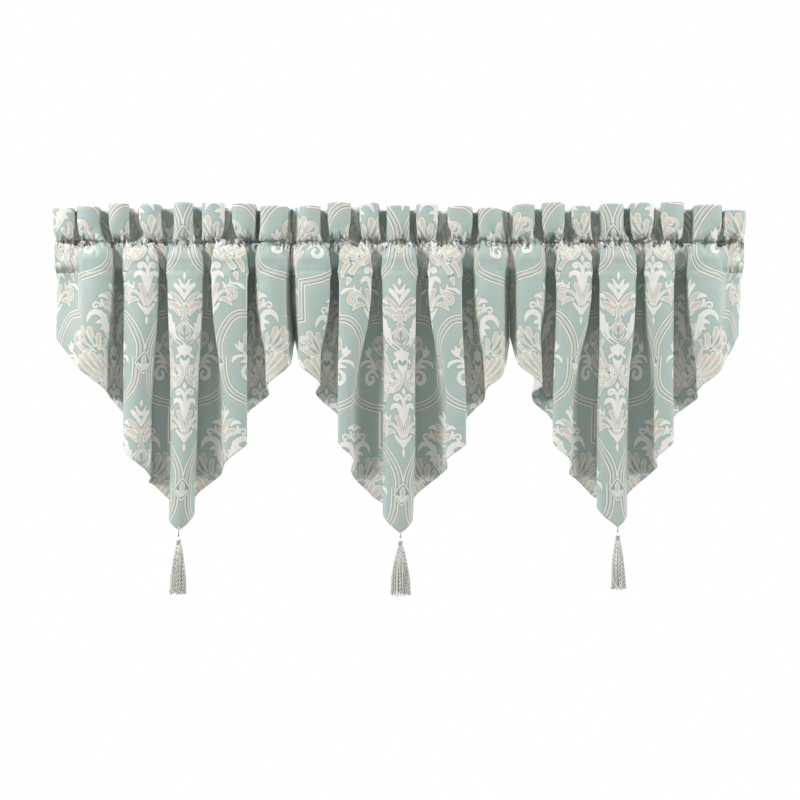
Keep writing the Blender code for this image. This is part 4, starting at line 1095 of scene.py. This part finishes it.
reverse_cloth, tree, shader = new_material("jacquard damask, reverse", 0.65, base="D3D2D6")
rib = stretched_noise(tree, RIB_SCALE, 2.0)
tint = node(tree, "MixRGB", {"Color1": colour("C9C8CD"), "Color2": colour("DEDDE1")}, Fac=rib)
tree.links.new(tint.outputs["Color"], shader.inputs["Base Color"])
bump = node(tree, "Bump", {"Strength": 0.2, "Distance": 0.0003}, Height=rib)
tree.links.new(bump.outputs["Normal"], shader.inputs["Normal"])

for thing in valances.values():
    thing.data.materials.append(damask_cloth)
    thing.data.materials.append(reverse_cloth)
print("materials on the cloth:", damask_cloth.name, "and", reverse_cloth.name)

# %% [markdown]
# A bullion tassel is made of cords that are doubled over and twisted on themselves, so each ends in a small
# round loop. The cords are gathered under a turned cap and fan out below it. Here each is one tube that goes
# down, turns and comes back up, wound around its own middle. Curves with a bevel would do the same, but one
# mesh function keeps all the strands of a skirt in one piece.

# %% Sizes of the tassels, and a tube
STRAND_SIDES = 5
STRAND_TWIST = 0.021        # metres of strand for one full turn of its two plies
STRAND_TURN_STEPS = 9       # points along a ply for one turn
PLY_OFFSET = 1.25           # from the strand's middle to a ply's, in radii of the ply
LOOP_FROM = 0.93            # share of a strand from which its plies part into the loop at its foot
LOOP_SPREAD = 0.9           # how much further they are from the middle at the foot
LOOP_DROP = 1.9             # how far the loop's foot hangs below, in radii of the ply
# Rings of strands: share of the skirt's radius, number, ply radius in metres, shortening
STRAND_RINGS = ((1.0, 24, 0.00115, 0.0), (0.74, 18, 0.00115, 0.004), (0.42, 10, 0.0012, 0.006))
# Length of the skirt, its lower radius, lean of its foot, all in mm, and the number of its random draw
TASSELS = {"left": (129.0, 22.0, -3.0, 15), "middle": (129.0, 26.5, 0.0, 17), "right": (128.0, 19.5, 1.5, 16)}


def tube(bm, points, radius, sides, closed_ends=True):
    """Round tube along points."""
    rings = []
    side = Vector((1.0, 0.0, 0.0))
    for i, point in enumerate(points):
        along = (points[min(i + 1, len(points) - 1)] - points[max(i - 1, 0)]).normalized()
        side = (side - along * side.dot(along)).normalized()
        other = along.cross(side)
        ring = []
        for k in range(sides):
            angle = 2 * math.pi * k / sides
            ring.append(bm.verts.new(point + (side * math.cos(angle) + other * math.sin(angle)) * radius))
        rings.append(ring)
    for upper, lower in zip(rings, rings[1:]):
        for k in range(sides):
            n = (k + 1) % sides
            bm.faces.new((upper[k], upper[n], lower[n], lower[k]))
    if closed_ends:
        bm.faces.new(rings[0][::-1])
        bm.faces.new(rings[-1])


def link_mesh(bm, name, material):
    """Object made from a mesh in progress."""
    mesh = bpy.data.meshes.new(name)
    bmesh.ops.recalc_face_normals(bm, faces=bm.faces)
    bm.to_mesh(mesh)
    bm.free()
    mesh.shade_smooth()
    mesh.materials.append(material)
    thing = bpy.data.objects.new(name, mesh)
    bpy.context.scene.collection.objects.link(thing)
    return thing


print("strands in each tassel:", sum(count for _share, count, _ply, _shorter in STRAND_RINGS))

# %% [markdown]
# The yarn is a lustrous rayon of silver and sage. Its plies catch the light in short glints along the twist,
# and the gaps between the cords go dark. The noise is stretched along each cord, as the fibres are. The cord
# that holds the tassel is thin and duller, and painted shade makes its colour darker, for the cloth's shade
# that it lies in. The ferrule is chromed brass, a little uneven from polishing, and the neck above it is
# wound with pale yarn.

# %% Materials of the tassels
yarn, tree, shader = new_material("tassel yarn, twisted rayon", 0.28, base="C6CAC1")
fibre = stretched_noise(tree, (1400.0, 1400.0, 260.0), 3.0)
cord_tone = stretched_noise(tree, (180.0, 180.0, 12.0), 1.0)
tint = node(tree, "MixRGB", {"Color1": colour("A9B1A8"), "Color2": colour("F0F1EA")}, Fac=cord_tone)
tree.links.new(grained(tree, tint.outputs["Color"], fibre, 0.72, 1.1), shader.inputs["Base Color"])
bump = node(tree, "Bump", {"Strength": 0.3, "Distance": 0.0002}, Height=fibre)
tree.links.new(bump.outputs["Normal"], shader.inputs["Normal"])
shader.inputs["Sheen Weight"].default_value = 0.3

chrome, tree, shader = new_material("polished ferrule", 0.1, metallic=1.0, base="D9DBDC")
coordinates = node(tree, "TexCoord")
wear = node(tree, "TexNoise", {"Scale": 900.0, "Detail": 2.0}, Vector=coordinates.outputs["Object"])
rough = node(tree, "MapRange", {"To Min": 0.06, "To Max": 0.22}, Value=wear.outputs["Fac"])
tree.links.new(rough.outputs[0], shader.inputs["Roughness"])

# Painted shade: the hanging cord's colours are darker than the skirt's yarn, for the cloth's shade that it
# lies in; the noise between them is the yarn's random tone.
hanger, tree, shader = new_material("hanging cord, twisted yarn with painted shade", 0.5, base="86877F")
coordinates = node(tree, "TexCoord")
tone = node(tree, "TexNoise", {"Scale": 700.0, "Detail": 2.0}, Vector=coordinates.outputs["Object"])
tint = node(tree, "MixRGB", {"Color1": colour("3E3F3A"), "Color2": colour("7C7D75")}, Fac=tone.outputs["Fac"])
tree.links.new(tint.outputs["Color"], shader.inputs["Base Color"])

bead, tree, shader = new_material("yarn-covered neck", 0.5, base="D8D8D0")
wound = stretched_noise(tree, (60.0, 60.0, 1500.0), 2.0)
tint = node(tree, "MixRGB", {"Color1": colour("B4B6AD"), "Color2": colour("EDECE6")}, Fac=wound)
tree.links.new(tint.outputs["Color"], shader.inputs["Base Color"])
bump = node(tree, "Bump", {"Strength": 0.4, "Distance": 0.0003}, Height=wound)
tree.links.new(bump.outputs["Normal"], shader.inputs["Normal"])
print("tassel materials:", ", ".join(made.name for made in (yarn, chrome, hanger, bead)))

# %% [markdown]
# A skirt is three rings of strands, one inside the other. Each strand leaves the cap almost straight down and
# then fans out, hangs a little aside and is a little shorter than its neighbour, as hand-made cords are. A
# particle system could place them, but a loop over the rings shows where each one goes.

# %% Skirts of twisted strands
HEAD_RADIUS = 0.0043        # of the outer ring inside the cap
HEAD_HEIGHT = 0.002         # how far the strands start above the cap's foot
FOOT_SPARE = 3.0            # mm by which the longest strand is shorter than the solid skirt
UNEVEN_LENGTH = 0.004       # most by which a strand is shorter still
UNEVEN_ANGLE = 0.3          # most that a strand leaves its place, in spacings of its ring
SWAY = 0.0016               # most that a strand hangs aside
SWAY_TURNS = 7.0            # radians of the bend down a strand
SWAY_PHASE = 2000           # radians by which the bend starts apart, for each metre that it hangs aside
FAN_STRAIGHT = 0.3          # share of the spread that grows evenly down the skirt
FAN_BEND = 2.6              # how soon the rest is reached


def strand_spine(top, out, root, reach, hang, sway, lean):
    """Middle of one strand as a function of the share of its length."""
    def spine(share):
        spread = FAN_STRAIGHT * share + (1 - FAN_STRAIGHT) * (1 - (1 - share) ** FAN_BEND)
        wobble = sway * math.sin(SWAY_TURNS * share + SWAY_PHASE * sway.x) * share
        here = Vector((top.x, top.y, top.z - hang * share))
        side_lean = Vector((lean * share ** 1.5, 0.0, 0.0))
        return here + out * (root + (reach - root) * spread) + wobble + side_lean
    return spine


def twisted_strand(bm, spine, ply, turns, phase):
    """Two plies wound around a spine, joined by a loop at its foot."""
    steps = int(turns * STRAND_TURN_STEPS)
    down, back = [], []
    for i in range(steps + 1):
        share = i / steps
        point = spine(share)
        angle = phase + 2 * math.pi * turns * share
        away = Vector((math.cos(angle), math.sin(angle), 0.0)) * ply * PLY_OFFSET
        loop = 1.0 + LOOP_SPREAD * max(0.0, (share - LOOP_FROM) / (1 - LOOP_FROM))
        down.append(point + away * loop)
        back.append(point - away * loop)
    foot = spine(1.0) + Vector((0, 0, -LOOP_DROP * ply))
    tube(bm, down + [foot] + back[::-1], ply, STRAND_SIDES)


def skirt_of(side, axis, cap_foot):
    """All the strands of one tassel in one mesh."""
    length, lower_radius, lean, seed = TASSELS[side]
    draw = random.Random(seed)
    top = Vector((axis.x, axis.y, cap_foot + HEAD_HEIGHT))
    bm = bmesh.new()
    for ring_share, count, ply, shorter in STRAND_RINGS:
        for k in range(count):
            angle = 2 * math.pi * (k + draw.uniform(-UNEVEN_ANGLE, UNEVEN_ANGLE)) / count
            out = Vector((math.cos(angle), math.sin(angle), 0.0))
            reach = lower_radius * MM * ring_share - 2 * ply
            hang = (length - FOOT_SPARE) * MM - shorter - draw.uniform(0.0, UNEVEN_LENGTH)
            sway = Vector((draw.uniform(-1, 1), draw.uniform(-1, 1), 0.0)) * SWAY
            spine = strand_spine(top, out, HEAD_RADIUS * ring_share, reach, hang, sway, lean * MM)
            turns = hang / STRAND_TWIST + draw.uniform(-0.5, 0.5)
            twisted_strand(bm, spine, ply, turns, draw.uniform(0, 2 * math.pi))
    return link_mesh(bm, "tassel_strands_" + side, yarn)


print("turns in a full strand:", round(TASSELS["middle"][0] * MM / STRAND_TWIST, 1))

# %% [markdown]
# A ferrule is turned on a lathe, so a profile that goes once around the axis is its natural description. The
# hanging cord is a thin cord of two plies, with a small knot just above the neck. The knot is drawn as two
# tilted loops, because its full path would not show at this size.

# %% Ferrules and hanging cords
# Outside of the neck and of the ferrule: radius, drop below the cap's top, in mm
NECK_PROFILE = ((1.6, 0.2), (2.6, 0.0), (3.4, 2.5), (4.6, 5.0), (5.7, 7.0), (6.1, 8.4))
FERRULE_PROFILE = ((6.1, 8.4), (6.5, 9.0), (6.2, 10.0), (6.2, 19.0), (6.6, 19.8), (6.6, 21.4), (6.2, 22.0),
                   (5.2, 22.0))
TURNED_SIDES = 32
CORD_POINTS, CORD_SIDES = 40, 6
CORD_TURNS = 3.5            # of its two plies, down its whole length
CORD_OFFSET, CORD_PLY = 0.00045, 0.0006         # metres: from its middle to a ply's, radius of a ply
KNOT_RISE = 0.0027          # from the cap's top to the knot's middle
KNOT_RING, KNOT_PLY = 0.0013, 0.0010            # radius of a loop of the knot, and of its cord
KNOT_TILTS = (0.5, -0.6)
KNOT_POINTS = 24


def turned(bm, profile, axis, top, material_number):
    """Surface turned around an upright axis."""
    rings = []
    for radius, drop in profile:
        rings.append([bm.verts.new((axis.x + radius * MM * math.cos(2 * math.pi * k / TURNED_SIDES),
                                    axis.y + radius * MM * math.sin(2 * math.pi * k / TURNED_SIDES),
                                    top - drop * MM)) for k in range(TURNED_SIDES)])
    for upper, lower in zip(rings, rings[1:]):
        for k in range(TURNED_SIDES):
            n = (k + 1) % TURNED_SIDES
            bm.faces.new((upper[k], upper[n], lower[n], lower[k])).material_index = material_number


def ferrule_of(side, axis, cap_top):
    """Neck and ferrule of one tassel."""
    bm = bmesh.new()
    turned(bm, NECK_PROFILE, axis, cap_top, 1)
    turned(bm, FERRULE_PROFILE, axis, cap_top, 0)
    bmesh.ops.remove_doubles(bm, verts=bm.verts, dist=1e-6)
    cap = link_mesh(bm, "tassel_ferrule_" + side, chrome)
    cap.data.materials.append(bead)
    return cap


def circle_point(axis, turn, radius, z):
    """Point on a level circle around the tassel's axis."""
    return Vector((axis.x, axis.y, 0.0)) + Vector((radius * math.cos(turn), radius * math.sin(turn), z))


def hanger_of(side, axis, cap_top):
    """Two plies wound around each other, and the loops of the knot."""
    bm = bmesh.new()
    low, high = (corner[2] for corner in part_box("tassel_cord_" + side))
    for ply_number in range(2):
        path = []
        for i in range(CORD_POINTS):
            share = i / (CORD_POINTS - 1)
            turn = math.pi * ply_number + 2 * math.pi * CORD_TURNS * share
            path.append(circle_point(axis, turn, CORD_OFFSET, high - (high - low) * share))
        tube(bm, path, CORD_PLY, CORD_SIDES)
    for loop_number, tilt in enumerate(KNOT_TILTS):
        path = []
        for i in range(KNOT_POINTS + 1):
            turn = 2 * math.pi * i / KNOT_POINTS
            rise = KNOT_RISE + KNOT_RING * tilt * math.sin(turn + loop_number)
            path.append(circle_point(axis, turn, KNOT_RING, cap_top + rise))
        tube(bm, path, KNOT_PLY, CORD_SIDES, closed_ends=False)
    return link_mesh(bm, "tassel_hanger_" + side, hanger)


print("ferrule:", 2 * max(radius for radius, _drop in FERRULE_PROFILE), "mm across")

# %% Make the three tassels
tassel_pieces = {}
for side in TASSELS:
    low, high = (Vector(corner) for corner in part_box("tassel_cap_" + side))
    axis = (low + high) / 2
    tassel_pieces[side] = (skirt_of(side, axis, low.z), ferrule_of(side, axis, high.z),
                           hanger_of(side, axis, high.z))
    skirt_mesh = tassel_pieces[side][0].data
    triangles = sum(len(face.vertices) - 2 for face in skirt_mesh.polygons)
    print(tassel_pieces[side][0].name, "has", triangles, "triangles")

# %% [markdown]
# The studio is bright and nearly without shadows: a white surround and two soft lamps, far out to both sides
# and above the cloth. The left one is stronger, so each fold has a bright side and a darker one, and light
# that grazes the folds from the sides shows them best. The surround is a plain white world, not a wall. It is
# darker in front of the cloth than behind it, as a room is that faces a bright white backdrop. There is no
# floor, because the valance hangs high up.

# %% Light
FRONT_FILL = 0.53           # brightness of the room in front of the cloth; the surround behind it is 1
FILL_FROM, FILL_TO = -0.2, 0.35         # depth of a direction where the brightness starts and stops rising
AIM = (0.0, 0.0, -0.3)

world = bpy.data.worlds.new("white surround")
world.use_nodes = True
tree = world.node_tree
direction = node(tree, "TexCoord")
axes = node(tree, "SeparateXYZ", Vector=direction.outputs["Generated"])
glow = node(tree, "MapRange", {"From Min": FILL_FROM, "From Max": FILL_TO, "To Min": FRONT_FILL,
                               "To Max": 1.0}, Value=axes.outputs["Y"])
tree.nodes["Background"].inputs["Color"].default_value = (1.0, 1.0, 1.0, 1.0)
tree.links.new(glow.outputs[0], tree.nodes["Background"].inputs["Strength"])
bpy.context.scene.world = world
bpy.context.scene.view_settings.view_transform = "Standard"

# Lights: name, place, watts
LIGHTS = (("key light", (-3.7, -2.1, 2.0), 215.0), ("second light", (3.9, -2.0, 1.6), 150.0))
for name, place, watts in LIGHTS:
    lamp = bpy.data.lights.new(name, "AREA")
    lamp.shape = "DISK"
    lamp.size = 1.0
    lamp.energy = watts
    thing = bpy.data.objects.new(name, lamp)
    thing.location = place
    thing.rotation_euler = (Vector(AIM) - Vector(place)).to_track_quat("-Z", "Y").to_euler()
    bpy.context.scene.collection.objects.link(thing)

print("lights:", [row[0] for row in LIGHTS])

# %% [markdown]
# Last, each piece is tied to the imported model. The thin cloths stand for the panels' solids. Each tassel
# piece stands for its node.

# %% Tie the pieces to the model
for side, thing in valances.items():
    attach(thing, "root")
    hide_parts("valance_" + side)
for side, (skirt, cap, cord) in tassel_pieces.items():
    for thing, part_node, finish in ((skirt, "tassel_skirt_", "yarn"), (cap, "tassel_cap_", "cap"),
                                     (cord, "tassel_cord_", "yarn")):
        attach(thing, "root")
        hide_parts(part_node + side)

bpy.context.view_layer.update()
